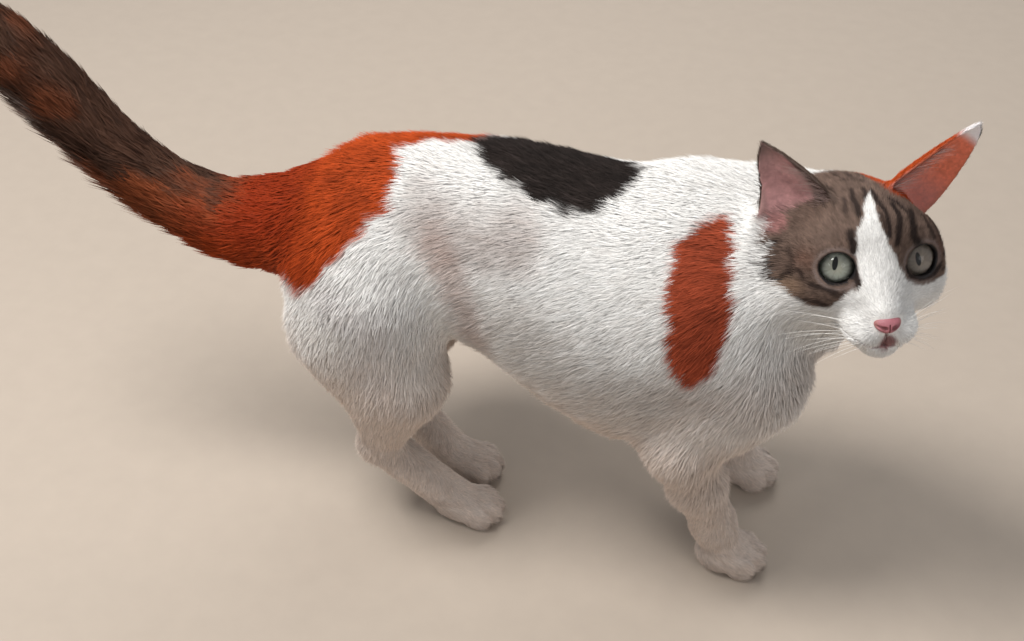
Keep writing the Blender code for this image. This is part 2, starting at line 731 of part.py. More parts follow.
def head_parts():
    centre = np.array(HEAD_CENTRE)
    ears = [ear_region(side) for side in (1, -1)]
    carve("head", whole_with_face, (centre - 0.075, centre + 0.075), STEPS["head"], TRIANGLES["head"],
          "tabby_coat", inside=head_region(), outside=ears)
    for word, side in (("right", -1), ("left", 1)):
        region = ear_region(side)
        carve("ear_" + word, head, (region[0] - 0.045, region[0] + 0.045), STEPS["ear"], TRIANGLES["ear"],
              "tabby_coat" if side < 0 else "orange_coat", inside=region)
    nose_part()
    eye_parts()
    keep_largest(bpy.data.objects["head"])


def trunk_parts():
    """The torso and the neck, without what the head, tail and legs take."""
    regions = [head_region(), shoulder_region(1), shoulder_region(-1)]
    below = [region_between((0.0, -0.2, -0.1), (0.2, 0.2, FRONT_CUT)),
             region_between((-0.3, -0.2, -0.1), (-0.05, 0.2, KNEE_CUT))]
    behind = [tail_region(0), haunch_region(1), haunch_region(-1)]
    carve("torso", whole, ((-0.25, -0.09, 0.07), (0.16, 0.09, 0.29)), STEPS["trunk"], TRIANGLES["torso"],
          "white_coat", outside=[neck_region(), *behind, *regions, *below])
    carve("neck", whole, ((0.03, -0.09, 0.10), (0.20, 0.09, 0.32)), STEPS["trunk"], TRIANGLES["neck"],
          "white_coat", inside=neck_region(), outside=regions)


def tail_parts():
    names = (("tail_base", "orange_coat"), ("tail_middle", "dark_coat"), ("tail_tip", "dark_coat"))
    for number, (name, coat) in enumerate(names):
        outside = [tail_region(number + 1)] if number < 2 else []
        carve(name, whole, ((-0.45, -0.06, 0.14), (-0.14, 0.06, 0.35)), STEPS["tail"], TRIANGLES[name],
              coat, inside=tail_region(number), outside=outside)


def leg_part(name, part, low, high, region, outside=()):
    """One length of a leg, meshed in a box and cut to its region."""
    step = STEPS[{"upper": "trunk", "lower": "leg", "paw": "paw"}[part]]
    carve(f"{name}_{part}", whole, (low, high), step, TRIANGLES[part], "white_coat",
          inside=region, outside=outside)


def leg_parts():
    """Each leg in three lengths: from the trunk to the elbow or knee, to the wrist or hock, and the paw."""
    for name, (x, y) in PAWS.items():
        side = -1 if name.endswith("right") else 1
        front = name.startswith("front")
        top, foot_top = (FRONT_CUT, WRIST_CUT) if front else (KNEE_CUT, HOCK_CUT)
        back, ahead = (-0.075, 0.045) if front else (-0.11, 0.05)
        low = np.array((x + back, y - 0.03, -0.006))
        high = np.array((x + ahead, y + 0.03, foot_top + 0.01))
        sole = region_between((low[0], low[1], GAP / -2), (high[0], high[1], foot_top))
        leg_part(name, "paw", low, high, sole)
        near, far = sorted((0.0, side * 0.10))
        low = np.array((x - 0.11, near - 0.02, foot_top - 0.01))
        high = np.array((x + 0.05, far + 0.02, top + 0.01))
        shin = region_between((low[0], near - 0.01, foot_top), (high[0], far + 0.01, top))
        leg_part(name, "lower", low, high, shin)
        region = shoulder_region(side) if front else haunch_region(side)
        above = region_between((-0.3, -0.2, -0.1), (0.3, 0.2, top))
        leg_part(name, "upper", region[0] - 0.12, region[0] + 0.12, region,
                 [above, head_region() if front else tail_region(0)])


def stand_on_origin():
    """The floor's middle under the whole box becomes the origin."""
    objects = list(bpy.context.scene.collection.objects)
    corners = np.array([v.co for obj in objects for v in obj.data.vertices])
    low, high = corners.min(axis=0), corners.max(axis=0)
    move = Matrix.Translation((-(low[0] + high[0]) / 2, -(low[1] + high[1]) / 2, -low[2]))
    for obj in objects:
        obj.data.transform(move)
        obj.data.update()


def main():
    for obj in list(bpy.data.objects):
        bpy.data.objects.remove(obj)
    head_parts()
    trunk_parts()
    tail_parts()
    leg_parts()
    stand_on_origin()


main()
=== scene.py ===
import itertools
import math

import bmesh
import bpy
import numpy as np
from mathutils import Matrix, Vector


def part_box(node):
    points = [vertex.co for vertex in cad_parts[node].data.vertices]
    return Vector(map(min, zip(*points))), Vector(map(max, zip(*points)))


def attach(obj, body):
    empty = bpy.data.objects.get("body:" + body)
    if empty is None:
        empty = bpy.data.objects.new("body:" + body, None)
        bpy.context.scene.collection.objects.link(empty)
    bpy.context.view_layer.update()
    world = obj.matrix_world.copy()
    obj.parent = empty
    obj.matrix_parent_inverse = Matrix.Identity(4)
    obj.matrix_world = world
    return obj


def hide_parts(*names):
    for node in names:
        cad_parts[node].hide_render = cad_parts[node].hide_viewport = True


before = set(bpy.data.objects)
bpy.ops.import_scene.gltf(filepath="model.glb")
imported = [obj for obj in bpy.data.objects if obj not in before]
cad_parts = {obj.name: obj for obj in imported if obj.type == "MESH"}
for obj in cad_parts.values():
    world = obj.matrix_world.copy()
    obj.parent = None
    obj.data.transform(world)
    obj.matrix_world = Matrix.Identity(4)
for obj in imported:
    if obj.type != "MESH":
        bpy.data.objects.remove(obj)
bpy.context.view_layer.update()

MM = 0.001
RNG = np.random.default_rng(20)

# The named forms of the source, metres

TRUNK_SECTIONS = (
    (0.095, 0.178, 0.056, 0.070),
    (0.070, 0.174, 0.066, 0.081),
    (0.040, 0.171, 0.071, 0.087),
    (0.000, 0.173, 0.071, 0.085),
    (-0.040, 0.186, 0.065, 0.076),
    (-0.070, 0.198, 0.058, 0.067),
    (-0.100, 0.202, 0.052, 0.062),
    (-0.130, 0.202, 0.049, 0.058),
    (-0.155, 0.197, 0.045, 0.051),
    (-0.175, 0.190, 0.037, 0.042),
)
TRUNK_ENDS = (-0.160, 0.082)
HEAD_CENTRE = (0.128, -0.022, 0.248)
HEAD_TURN = -71.5
HEAD_LIFT = 18.5
HEAD_ROLL = -3.9
EYE_RADIUS = 11.0 * MM
EYE_PLACES = {-1: (20.0 * MM, -18.2 * MM, 3.0 * MM), 1: (19.8 * MM, 20.8 * MM, 1.8 * MM)}
EYE_SPLAY = 12.0
LID_THICKNESS = 1.5 * MM
EYE_HALF_LENGTH = 8.8 * MM
EYE_HALF_HEIGHT = 8.0 * MM
NOSE_PLACE = (46.0 * MM, 0.0, -22.5 * MM)
EARS = {
    -1: ((-1 * MM, -25 * MM, 19 * MM), (2 * MM, -50 * MM, 62 * MM), 38.0),
    1: ((-3 * MM, 25 * MM, 22 * MM), (6 * MM, 61 * MM, 61 * MM), 34.0),
}
EAR_HALF_WIDTH = 19.5 * MM
EAR_DEPTH = 10 * MM
EAR_TIP_POWER = 0.66
PAWS = {
    "front_right": (0.083, -0.032),
    "front_left": (0.083, 0.046),
    "hind_right": (-0.086, -0.032),
    "hind_left": (-0.096, 0.007),
}
ELBOW = (0.050, 0.050, 0.116)
SHOULDER = (0.085, 0.043, 0.165)
WRIST_HEIGHT = 0.037
KNEE = (-0.120, 0.045, 0.124)
HIP = (-0.135, 0.038, 0.178)
HOCK_BACK = 0.053
HOCK_HEIGHT = 0.064
TAIL_ROUTE = ((-0.150, 0.200), (-0.188, 0.194), (-0.232, 0.190), (-0.262, 0.199), (-0.290, 0.215),
              (-0.316, 0.238), (-0.337, 0.262), (-0.358, 0.284), (-0.382, 0.304), (-0.404, 0.317))
TAIL_GIRTH = (0.035, 0.034, 0.0280, 0.0235, 0.0215, 0.0215, 0.0220, 0.0215, 0.0190, 0.0110)


# A distance past every form, to start a union of forms from
FAR_OFF = 9.0


def unit(vector):
    vector = np.asarray(vector, float)
    return vector / np.linalg.norm(vector)


def rows_unit(rows):
    return rows / np.maximum(np.linalg.norm(rows, axis=1, keepdims=True), 1e-9)


def turned(x_axis, towards):
    x_axis = unit(x_axis)
    y_axis = unit(np.asarray(towards, float) - np.dot(towards, x_axis) * x_axis)
    return np.array([x_axis, y_axis, np.cross(x_axis, y_axis)])


def head_axes():
    turn, lift, roll = (math.radians(a) for a in (HEAD_TURN, HEAD_LIFT, HEAD_ROLL))
    level = math.cos(lift)
    forward = np.array([math.cos(turn) * level, math.sin(turn) * level, math.sin(lift)])
    left = unit(np.cross((0, 0, 1), forward))
    up = np.cross(forward, left)
    return np.array([forward, math.cos(roll) * left - math.sin(roll) * up,
                     math.cos(roll) * up + math.sin(roll) * left])


HEAD_AXES = head_axes()


def to_head(points):
    return (points - np.array(HEAD_CENTRE)) @ HEAD_AXES.T


def from_head(points):
    return np.array(HEAD_CENTRE) + np.asarray(points, float) @ HEAD_AXES


def blend(a, b, reach):
    overlap = np.maximum(reach - np.abs(a - b), 0) / reach
    return np.minimum(a, b) - overlap * overlap * reach / 4


def cut_out(a, b, reach):
    return -blend(-a, b, reach)


def egg(points, centre, radii, lean=0.0):
    offset = points - np.array(centre)
    if lean:
        c, s = math.cos(math.radians(lean)), math.sin(math.radians(lean))
        offset = np.stack([offset[:, 0] * c - offset[:, 2] * s, offset[:, 1],
                           offset[:, 0] * s + offset[:, 2] * c], 1)
    radii = np.array(radii)
    near = np.linalg.norm(offset / radii, axis=1)
    far = np.linalg.norm(offset / radii**2, axis=1)
    return near * (near - 1) / np.maximum(far, 1e-9)


def cone(points, start, start_radius, end, end_radius):
    start, end = np.array(start, float), np.array(end, float)
    along = end - start
    share = np.clip((points - start) @ along / (along @ along), 0, 1)
    nearest = start + share[:, None] * along
    distance = np.linalg.norm(points - nearest, axis=1)
    return distance - start_radius - share * (end_radius - start_radius)


def smooth_route(points, count):
    points = np.asarray(points, float)
    ends = np.concatenate([2 * points[:1] - points[1:2], points, 2 * points[-1:] - points[-2:-1]])
    route = []
    for i in range(len(points) - 1):
        a, b, c, d = ends[i:i + 4]
        for t in np.arange(count) / count:
            square, cube = 2 * a - 5 * b + 4 * c - d, 3 * b - a - 3 * c + d
            route.append(0.5 * (2 * b + (c - a) * t + square * t**2 + cube * t**3))
    return np.array(route + [points[-1]])


def sided(point, side):
    return (point[0], side * point[1], point[2])


TRUNK_EGGS = {
    "breast": ((0.076, 0, 0.156), (0.039, 0.045, 0.056), -12, 0.03),
    "withers": ((0.046, 0, 0.212), (0.050, 0.034, 0.042), 0, 0.03),
    "rump": ((-0.150, 0, 0.192), (0.042, 0.042, 0.046), 10, 0.03),
}
TRUNK_TABLE = smooth_route(TRUNK_SECTIONS[::-1], 12)


def trunk_section(x):
    return (np.interp(x, TRUNK_TABLE[:, 0], TRUNK_TABLE[:, i]) for i in (1, 2, 3))


def trunk(points):
    middle, half_width, half_depth = trunk_section(points[:, 0])
    reach = np.hypot(points[:, 1] / half_width, (points[:, 2] - middle) / half_depth)
    form = (reach - 1) * half_width
    low, high = TRUNK_ENDS
    form = np.maximum(form, np.maximum(low - points[:, 0], points[:, 0] - high))
    for centre, radii, lean, blend_reach in TRUNK_EGGS.values():
        form = blend(form, egg(points, centre, radii, lean), blend_reach)
    return form


def limb(points, form, joints, blends):
    """The form with a limb added, a cone from each joint to the next; a joint is a place and a radius."""
    for (start, start_radius), (end, end_radius), reach in zip(joints, joints[1:], blends):
        form = blend(form, cone(points, start, start_radius, end, end_radius), reach)
    return form


NECK_JOINTS = (((0.060, 0, 0.202), 0.055), ((0.097, 0.001, 0.217), 0.045), ((0.114, 0.004, 0.231), 0.036))
NECK_BLEND = 0.02


def neck(points):
    (start, start_radius), (middle, middle_radius) = NECK_JOINTS[:2]
    form = cone(points, start, start_radius, middle, middle_radius)
    return limb(points, form, NECK_JOINTS[1:], (NECK_BLEND,))


# Length, width and height of a paw, and how far it turns inwards in degrees
PAW_SIZES = {"front": (0.037, 0.031, 0.026, 4), "hind": (0.037, 0.029, 0.025, 2)}
# Place across, place ahead and height of each toe, as shares of the paw
TOES = ((-0.36, 0.27, 0.38), (-0.125, 0.42, 0.42), (0.125, 0.42, 0.42), (0.36, 0.27, 0.38))
TOE_LEAN = 14
TOE_BLEND = 0.0012
PAW_BLEND = 0.006


def paw(points, name, side):
    long, wide, tall, turn = PAW_SIZES[name.split("_")[0]]
    c, s = math.cos(math.radians(-side * turn)), math.sin(math.radians(-side * turn))
    local = points - np.array([*PAWS[name], 0])
    local = np.stack([local[:, 0] * c + local[:, 1] * s, local[:, 1] * c - local[:, 0] * s, local[:, 2]], 1)
    form = egg(local, (0, 0, tall * 0.45), (long * 0.52, wide * 0.47, tall * 0.52))
    toes = np.full(len(points), FAR_OFF)
    for across, ahead, height in TOES:
        toe = egg(local, (long * ahead, across * wide, tall * 0.34),
                  (long * 0.24, wide * 0.155, tall * height), TOE_LEAN)
        toes = blend(toes, toe, TOE_BLEND)
    return blend(form, toes, 0.004)


FRONT_EGG = ((0.070, 0.042, 0.180), (0.038, 0.023, 0.052), -24)
FRONT_RADII = (0.026, 0.0208, 0.0165, 0.0128, 0.0128)
FRONT_BLENDS = (0.02, 0.012, 0.010, 0.008)


def front_leg(points, name, side):
    """Shoulder, elbow, forearm, wrist and paw."""
    x, y = PAWS[name]
    elbow = sided(ELBOW, side)
    wrist = (x - 0.010, y + side * 0.002, WRIST_HEIGHT)
    forearm = np.array(elbow) * 0.55 + np.array(wrist) * 0.45
    places = (sided(SHOULDER, side), elbow, forearm, wrist, (x - 0.002, y, 0.016))
    centre, radii, lean = FRONT_EGG
    form = egg(points, sided(centre, side), radii, lean)
    form = limb(points, form, list(zip(places, FRONT_RADII)), FRONT_BLENDS)
    return blend(form, paw(points, name, side), PAW_BLEND)


HIND_EGG = ((-0.143, 0.035, 0.168), (0.047, 0.030, 0.062), 14)
THIGH_BACK = (((-0.155, 0.036, 0.150), 0.030), ((-0.138, 0.034, 0.100), 0.020))
HIP_RADIUS = 0.036
KNEE_RADIUS = 0.0238
HOCK_RADIUS = 0.0135
HEEL_RADIUS = 0.0130
HIND_BLEND = 0.02
HEEL_BLEND = 0.008


def hind_leg(points, name, side):
    """Hip, thigh, knee, hock and paw."""
    x, y = PAWS[name]
    knee = (sided(KNEE, side), KNEE_RADIUS)
    hock = (x - HOCK_BACK, y + side * 0.006, HOCK_HEIGHT)
    heel = (hock[0] - 0.001, hock[1], hock[2] - 0.004)
    centre, radii, lean = HIND_EGG
    form = egg(points, sided(centre, side), radii, lean)
    thigh_back = [(sided(place, side), radius) for place, radius in THIGH_BACK]
    for joints in (((sided(HIP, side), HIP_RADIUS), knee), thigh_back, (knee, (hock, HOCK_RADIUS))):
        form = limb(points, form, joints, (HIND_BLEND,))
    foot = ((heel, HEEL_RADIUS), ((x - 0.012, y, 0.018), HEEL_RADIUS))
    form = limb(points, form, foot, (HEEL_BLEND,))
    return blend(form, paw(points, name, side), PAW_BLEND)


TAIL_LINE = smooth_route([(x, 0, z, r) for (x, z), r in zip(TAIL_ROUTE, TAIL_GIRTH)], 3)


def tail(points):
    form = np.full(len(points), FAR_OFF)
    for start, end in zip(TAIL_LINE[:-1], TAIL_LINE[1:]):
        form = np.minimum(form, cone(points, start[:3], start[3], end[:3], end[3]))
    return form


SKULL = {
    "cranium": ((-7, 0, 7), (37, 34, 30), 0, 6),
    "forehead": ((13, 0, 13), (21, 25, 21), 0, 12),
    "cheek": ((3, 22, -11), (25, 20, 22), 0, 12),
    "jowl": ((-4, 27, -15), (20, 15, 19), 0, 12),
    "face": ((24, 0, -14), (19, 18, 20), 0, 14),
    "cheekbone": ((17, 24, -9), (13, 11, 11), 0, 10),
    "brow": ((19, 16, 15), (11, 11, 9), 0, 10),
    "temple": ((8, 26, 4), (17, 12, 13), 0, 10),
    "brow_end": ((16, 24, 11), (12, 9, 9), 0, 8),
    "muzzle": ((34.0, 8.0, -28.0), (13.0, 10.5, 9.5), 12, 6),
    "chin": ((31, 0, -38.5), (11, 9.5, 7.0), 0, 7),
    "throat": ((2, 0, -28), (28, 20, 16), 0, 14),
}
NOSE_BRIDGE = ((18, 0, 8), 12.5, (41.5, 0, -17.5), 7.5)


def eye_centre(side):
    return np.array(EYE_PLACES[side])


def eye_axes(side):
    splay = math.radians(EYE_SPLAY) * side
    out = unit((math.cos(splay), math.sin(splay), 0.06))
    along = unit((-math.sin(splay) * side, math.cos(splay) * side, 0.16))
    along = unit(along - np.dot(along, out) * out)
    return out, along, np.cross(out, along) * side


def eye_opening(local, side, wider=0.0):
    """Distance from the opening between the lids, which two arcs bound."""
    out, along, up = eye_axes(side)
    offset = local - eye_centre(side)
    radius = (EYE_HALF_LENGTH**2 + EYE_HALF_HEIGHT**2) / (2 * EYE_HALF_HEIGHT)
    drop = radius - EYE_HALF_HEIGHT
    across, above = offset @ along, offset @ up
    upper = np.hypot(across, above + drop) - radius - wider
    lower = np.hypot(across, above - drop) - radius - wider
    return np.maximum(np.maximum(upper, lower), 2 * MM - offset @ out)


def mouth_line(local):
    """Height over the line where the lips meet."""
    across = np.abs(local[:, 1]) / MM
    height = -34.5 - 2.3 * np.sin(np.clip(across / 12, 0, 1) * math.pi) + 0.018 * across**2
    return local[:, 2] - height * MM


def skull(local):
    form = np.full(len(local), FAR_OFF)
    for centre, radii, lean, reach in SKULL.values():
        sides = (1, -1) if centre[1] else (1,)
        for side in sides:
            shape = egg(local, np.array(sided(centre, side)) * MM, np.array(radii) * MM, lean)
            form = blend(form, shape, reach * MM)
    start, start_radius, end, end_radius = NOSE_BRIDGE
    start, end = np.array(start) * MM, np.array(end) * MM
    return blend(form, cone(local, start, start_radius * MM, end, end_radius * MM), 8 * MM)


def ear_axes(side):
    root, tip, turn = EARS[side]
    root, tip, turn = np.array(root), np.array(tip), math.radians(turn)
    axes = turned(tip - root, (math.cos(turn), side * math.sin(turn), 0))
    return root, np.linalg.norm(tip - root), axes


def ear_places(local, side):
    """Where a point lies on an ear: share of the height, place across, and height over the cup's sheet."""
    root, length, axes = ear_axes(side)
    up, out, across = (axes @ (local - root).T)
    share = np.clip(up / length, -0.4, 1)
    half = EAR_HALF_WIDTH * np.clip(1 - np.maximum(share, 0) ** 1.4, 0, 1) ** EAR_TIP_POWER + 0.9 * MM
    depth = EAR_DEPTH * (1 - 0.75 * share)
    bent = depth * (across / half) ** 2 - depth
    slope = 2 * depth * across / half**2
    return up, length, share, across, half, (out - bent) / np.sqrt(1 + slope**2)


def ear(local, side, thinner):
    up, length, share, across, half, over = ear_places(local, side)
    thick = 1.7 * MM - 0.8 * MM * np.maximum(share, 0) - thinner
    sheet = np.abs(over) - thick
    edge = np.abs(across) - half + thinner
    ends = np.maximum(up - length + thinner, -0.35 * length - up)
    return np.maximum(-blend(-sheet, -edge, 2.4 * MM), ends)


# The skin, which lies under the coat

EAR_COAT = 0.15 * MM
SOLE_LIFT = 0.0004


def smooth(low, high, value):
    """Zero at low, one at high, and smooth between them."""
    share = np.clip((value - low) / (high - low), 0, 1)
    return share * share * (3 - 2 * share)


FAR = 0.2
PART_BOXES = {
    "trunk": ((-0.26, -0.13, 0.04), (0.20, 0.13, 0.33)),
    "tail": ((-0.45, -0.09, 0.12), (-0.09, 0.09, 0.37)),
    "front_right": ((0.0, -0.11, -0.04), (0.16, 0.02, 0.27)),
    "front_left": ((0.0, -0.02, -0.04), (0.16, 0.11, 0.27)),
    "hind_right": ((-0.23, -0.12, -0.04), (-0.03, 0.03, 0.27)),
    "hind_left": ((-0.23, -0.05, -0.04), (-0.03, 0.12, 0.27)),
    "head": ((0.02, -0.13, 0.14), (0.23, 0.08, 0.37)),
}


def within(points, name):
    low, high = PART_BOXES[name]
    return ((points > low) & (points < high)).all(axis=1)


def where_near(points, name, form):
    """A part's form near the part, and a great distance elsewhere, which saves most of the work."""
    found = np.full(len(points), FAR)
    near = within(points, name)
    if near.any():
        found[near] = form(points[near])
    return found


def part_distances(points):
    """How far each point lies from the form of each part."""
    found = {
        "trunk": where_near(points, "trunk", lambda p: blend(trunk(p), neck(p), 0.03)),
        "tail": where_near(points, "tail", tail),
    }
    for name in PAWS:
        side = -1 if name.endswith("right") else 1
        leg = front_leg if name.startswith("front") else hind_leg
        found[name] = where_near(points, name, lambda p: leg(p, name, side))
    return found


def head_distances(points):
    """The same for the skull with its lids, and for each ear with its hair left off."""
    def lidded(near):
        local = to_head(near)
        form = skull(local)
        for side in (1, -1):
            lids = np.linalg.norm(local - eye_centre(side), axis=1) - EYE_RADIUS - LID_THICKNESS
            form = blend(form, lids, 3.0 * MM)
        return form

    found = {"skull": where_near(points, "head", lidded)}
    for side in (1, -1):
        found[f"ear_{side}"] = where_near(points, "head", lambda p: ear(to_head(p), side, EAR_COAT))
    return found


def eye_distance(local):
    return np.minimum(*(np.linalg.norm(local - eye_centre(side), axis=1) for side in (1, -1)))


def head_depth(local):
    """The coat's depth on the head: thin on the face, thickest on the jowls and the throat."""
    forward, across, height = local.T / MM
    across = np.abs(across)
    depth = 1.5 + 1.0 * smooth(26, 42, across) * smooth(10, -12, height)
    depth = depth + 1.6 * smooth(-22, -38, height) * smooth(26, 12, forward)
    depth = depth * (1 - 0.55 * smooth(18, 36, forward))
    near_eye = smooth(20, 13, eye_distance(local) / MM)
    depth = depth * (1 - near_eye) + 0.55 * near_eye
    nose = np.linalg.norm(local - np.array(NOSE_PLACE), axis=1) / MM
    near_nose = smooth(14, 6, nose)
    return (depth * (1 - near_nose) + 0.25 * near_nose) * MM


def trunk_depth(points):
    middle, _, half_depth = trunk_section(points[:, 0])
    under = smooth(0.2, 0.9, (middle - points[:, 2]) / half_depth)
    chest = smooth(0.075, 0.105, points[:, 0]) * smooth(0.23, 0.20, points[:, 2])
    rump = smooth(-0.13, -0.17, points[:, 0])
    return (2.3 + 0.8 * under + 0.8 * chest + 1.0 * rump) * MM


def leg_depth(points):
    return (0.8 + 1.5 * smooth(0.035, 0.13, points[:, 2])) * MM


def tail_depth(points):
    end = smooth(-0.375, -0.420, points[:, 0])
    return (3.6 + 2.0 * smooth(-0.20, -0.27, points[:, 0]) + 9 * end) * MM


def weights_of(distances, reach=0.005):
    """How much each part counts at a point, from how near its form is."""
    nearest = np.minimum.reduce(list(distances.values()))
    raised = {name: np.exp(-(value - nearest) / reach) for name, value in distances.items()}
    total = sum(raised.values())
    return {name: value / total for name, value in raised.items()}


def all_distances(points):
    found = part_distances(points)
    found.update(head_distances(points))
    return found, to_head(points)


def coat_depth(points, found, local):
    weight = weights_of(found)
    depth = weight["trunk"] * trunk_depth(points) + weight["tail"] * tail_depth(points)
    depth = depth + sum(weight[name] for name in PAWS) * leg_depth(points)
    depth = depth + weight["skull"] * head_depth(local)
    return depth


def press_face(form, local):
    """The line of the mouth, the groove under the nose and the folds beside it, pressed into the skin."""
    forward, across, height = local.T
    depth = form + 2.6 * MM
    lips = np.maximum(np.abs(mouth_line(local)) - 0.45 * MM,
                      np.maximum(23 * MM - forward, np.abs(across) - 18 * MM))
    groove = np.maximum(np.abs(across) - 0.5 * MM, np.maximum(height + 26 * MM, -36 * MM - height))
    groove = np.maximum(groove, 36 * MM - forward)
    for line in (lips, groove):
        form = cut_out(form, np.maximum(line, -depth), 1.0 * MM)
    return form


def nose_pad(local, grown=0.0):
    offset = (local - np.array(NOSE_PLACE)) / MM
    taper = 1 + 0.045 * np.clip(offset[:, 2], -6, 4)
    shaped = np.stack([offset[:, 0], offset[:, 1] / taper, offset[:, 2]], 1)
    return egg(shaped, (0, 0, 0), (5.0, 6.6, 4.6), 18) * MM * 0.9 - grown


def skin(points):
    """The whole skin as one field, inside the coat's surface by the coat's depth."""
    found, local = all_distances(points)
    form = blend(found["trunk"], found["tail"], 0.03)
    for name in PAWS:
        form = blend(form, found[name], 0.014)
    head = found["skull"]
    for side in (1, -1):
        head = blend(head, found[f"ear_{side}"], 5.0 * MM)
    form = blend(form, head, 0.016) + coat_depth(points, found, local)
    near = found["skull"] < 0.03
    if near.any():
        face = press_face(form[near], local[near])
        for side in (1, -1):
            face = cut_out(face, eye_opening(local[near], side, 0.2 * MM), 1.0 * MM)
        form[near] = face
    return np.maximum(form, SOLE_LIFT - points[:, 2])


def grid_line(*spans):
    """Places along one axis, each span with its own step."""
    places = [spans[0][0]]
    for low, high, step in spans:
        count = max(1, int(round((high - low) / step)))
        places += list(np.linspace(low, high, count + 1)[1:])
    return np.array(places)


BLOCK = 6
BLOCK_REACH = 1.35
BLOCKS_AT_ONCE = 1500


def lattice(*places):
    """All the places of a grid, one to a row."""
    return np.stack(np.meshgrid(*places, indexing="ij"), -1).reshape(-1, 3)


def field_on_grid(field, lines):
    """The field where the surface may be, on a grid with uneven steps; far cells keep only a sign."""
    counts = [int(math.ceil((len(line) - 1) / BLOCK)) * BLOCK for line in lines]
    lines = [np.concatenate([line, line[-1] + np.arange(1, count - len(line) + 2) * (line[-1] - line[-2])])
             for line, count in zip(lines, counts)]
    starts = lattice(*(np.arange(0, count, BLOCK) for count in counts))
    low = np.stack([lines[a][starts[:, a]] for a in range(3)], 1)
    high = np.stack([lines[a][starts[:, a] + BLOCK] for a in range(3)], 1)
    level = field((low + high) / 2)
    reach = BLOCK_REACH * np.linalg.norm(high - low, axis=1) / 2 + 0.004
    values = np.full([c + 1 for c in counts], 1.0, np.float32)
    offset = lattice(*[np.arange(BLOCK + 1)] * 3)
    for block in starts[(level < 0) & (np.abs(level) >= reach)]:
        i, j, k = block
        values[i:i + BLOCK + 1, j:j + BLOCK + 1, k:k + BLOCK + 1] = -1.0
    near = starts[np.abs(level) < reach]
    for chunk in np.array_split(near, max(1, len(near) // BLOCKS_AT_ONCE)):
        index = (chunk[:, None, :] + offset[None]).reshape(-1, 3)
        points = np.stack([lines[a][index[:, a]] for a in range(3)], 1)
        values[index[:, 0], index[:, 1], index[:, 2]] = field(points)
    return values, lines


CELL_EDGES = [(a, b) for a in np.ndindex(2, 2, 2) for b in np.ndindex(2, 2, 2)
              if sum(b) == sum(a) + 1 and sum(abs(x - y) for x, y in zip(a, b)) == 1]


def crossing_points(values, lines, cells):
    """For each cell, the mean of the places where the surface crosses its edges."""
    total = np.zeros((len(cells), 3))
    count = np.zeros(len(cells))
    for a, b in CELL_EDGES:
        start, end = cells + np.array(a), cells + np.array(b)
        low, high = values[tuple(start.T)], values[tuple(end.T)]
        cut = (low < 0) != (high < 0)
        share = np.clip(low[cut] / (low[cut] - high[cut]), 0.02, 0.98)[:, None]
        from_place = np.stack([lines[axis][start[cut, axis]] for axis in range(3)], 1)
        to_place = np.stack([lines[axis][end[cut, axis]] for axis in range(3)], 1)
        total[cut] += from_place * (1 - share) + to_place * share
        count[cut] += 1
    return total / count[:, None]


def net_quads(inside, number):
    """A quad across each edge of the grid that the surface crosses, facing outwards."""
    quads = []
    steps = np.eye(3, dtype=int)
    for axis, step in enumerate(steps):
        u, v = steps[(axis + 1) % 3], steps[(axis + 2) % 3]
        near = inside[tuple(slice(0, size) for size in inside.shape - step)]
        far = inside[tuple(slice(size, None) for size in step)]
        edges = np.argwhere(near != far)
        whole = (edges[:, (axis + 1) % 3] > 0) & (edges[:, (axis + 2) % 3] > 0)
        edges = edges[whole & (edges < np.array(number.shape)).all(axis=1)]
        quad = np.stack([number[tuple((edges - corner).T)] for corner in (u * 0, u, u + v, v)], 1)
        outward = near[tuple(edges.T)]
        quad[~outward] = quad[~outward, ::-1]
        quads.append(quad)
    quads = np.concatenate(quads)
    return quads[(quads >= 0).all(axis=1)]


def surface_net(field, lines):
    """Points and quads where the field changes sign, one point in each cell that the surface crosses."""
    values, lines = field_on_grid(field, lines)
    inside = values < 0
    shape = np.array(values.shape) - 1
    crossed = np.zeros(shape, bool)
    first = inside[:-1, :-1, :-1]
    for i, j, k in np.ndindex(2, 2, 2):
        crossed |= inside[i:shape[0] + i, j:shape[1] + j, k:shape[2] + k] != first
    cells = np.argwhere(crossed)
    number = np.full(shape, -1, np.int32)
    number[tuple(cells.T)] = np.arange(len(cells))
    return crossing_points(values, lines, cells), net_quads(inside, number)


def slopes(field, points, step=0.0004):
    grads = []
    for axis in range(3):
        move = np.zeros(3)
        move[axis] = step
        grads.append(field(points + move) - field(points - move))
    return np.stack(grads, 1) / (2 * step)


def settle(field, points, rounds=2, most=0.0015):
    """Moves points onto the surface, and gives its outward directions there."""
    for _ in range(rounds):
        slope = slopes(field, points)
        size = np.maximum((slope**2).sum(axis=1), 0.05)
        move = -(field(points) / size)[:, None] * slope
        length = np.linalg.norm(move, axis=1, keepdims=True)
        points = points + move * np.minimum(1, most / np.maximum(length, 1e-9))
    return points, rows_unit(slopes(field, points))


def mesh_of(name, points, faces, sides):
    """A mesh made straight from arrays, all faces with the same number of sides."""
    mesh = bpy.data.meshes.new(name)
    mesh.vertices.add(len(points))
    mesh.vertices.foreach_set("co", np.ascontiguousarray(points, np.float32).ravel())
    mesh.loops.add(len(faces) * sides)
    mesh.loops.foreach_set("vertex_index", np.ascontiguousarray(faces, np.int32).ravel())
    mesh.polygons.add(len(faces))
    mesh.polygons.foreach_set("loop_start", np.arange(0, len(faces) * sides, sides, dtype=np.int32))
    mesh.polygons.foreach_set("use_smooth", np.ones(len(faces), bool))
    mesh.update(calc_edges=True)
    return mesh


DOME_HEIGHT = 1.1 * MM
DOME_EDGE = 0.72
DOME_REACH = 0.28


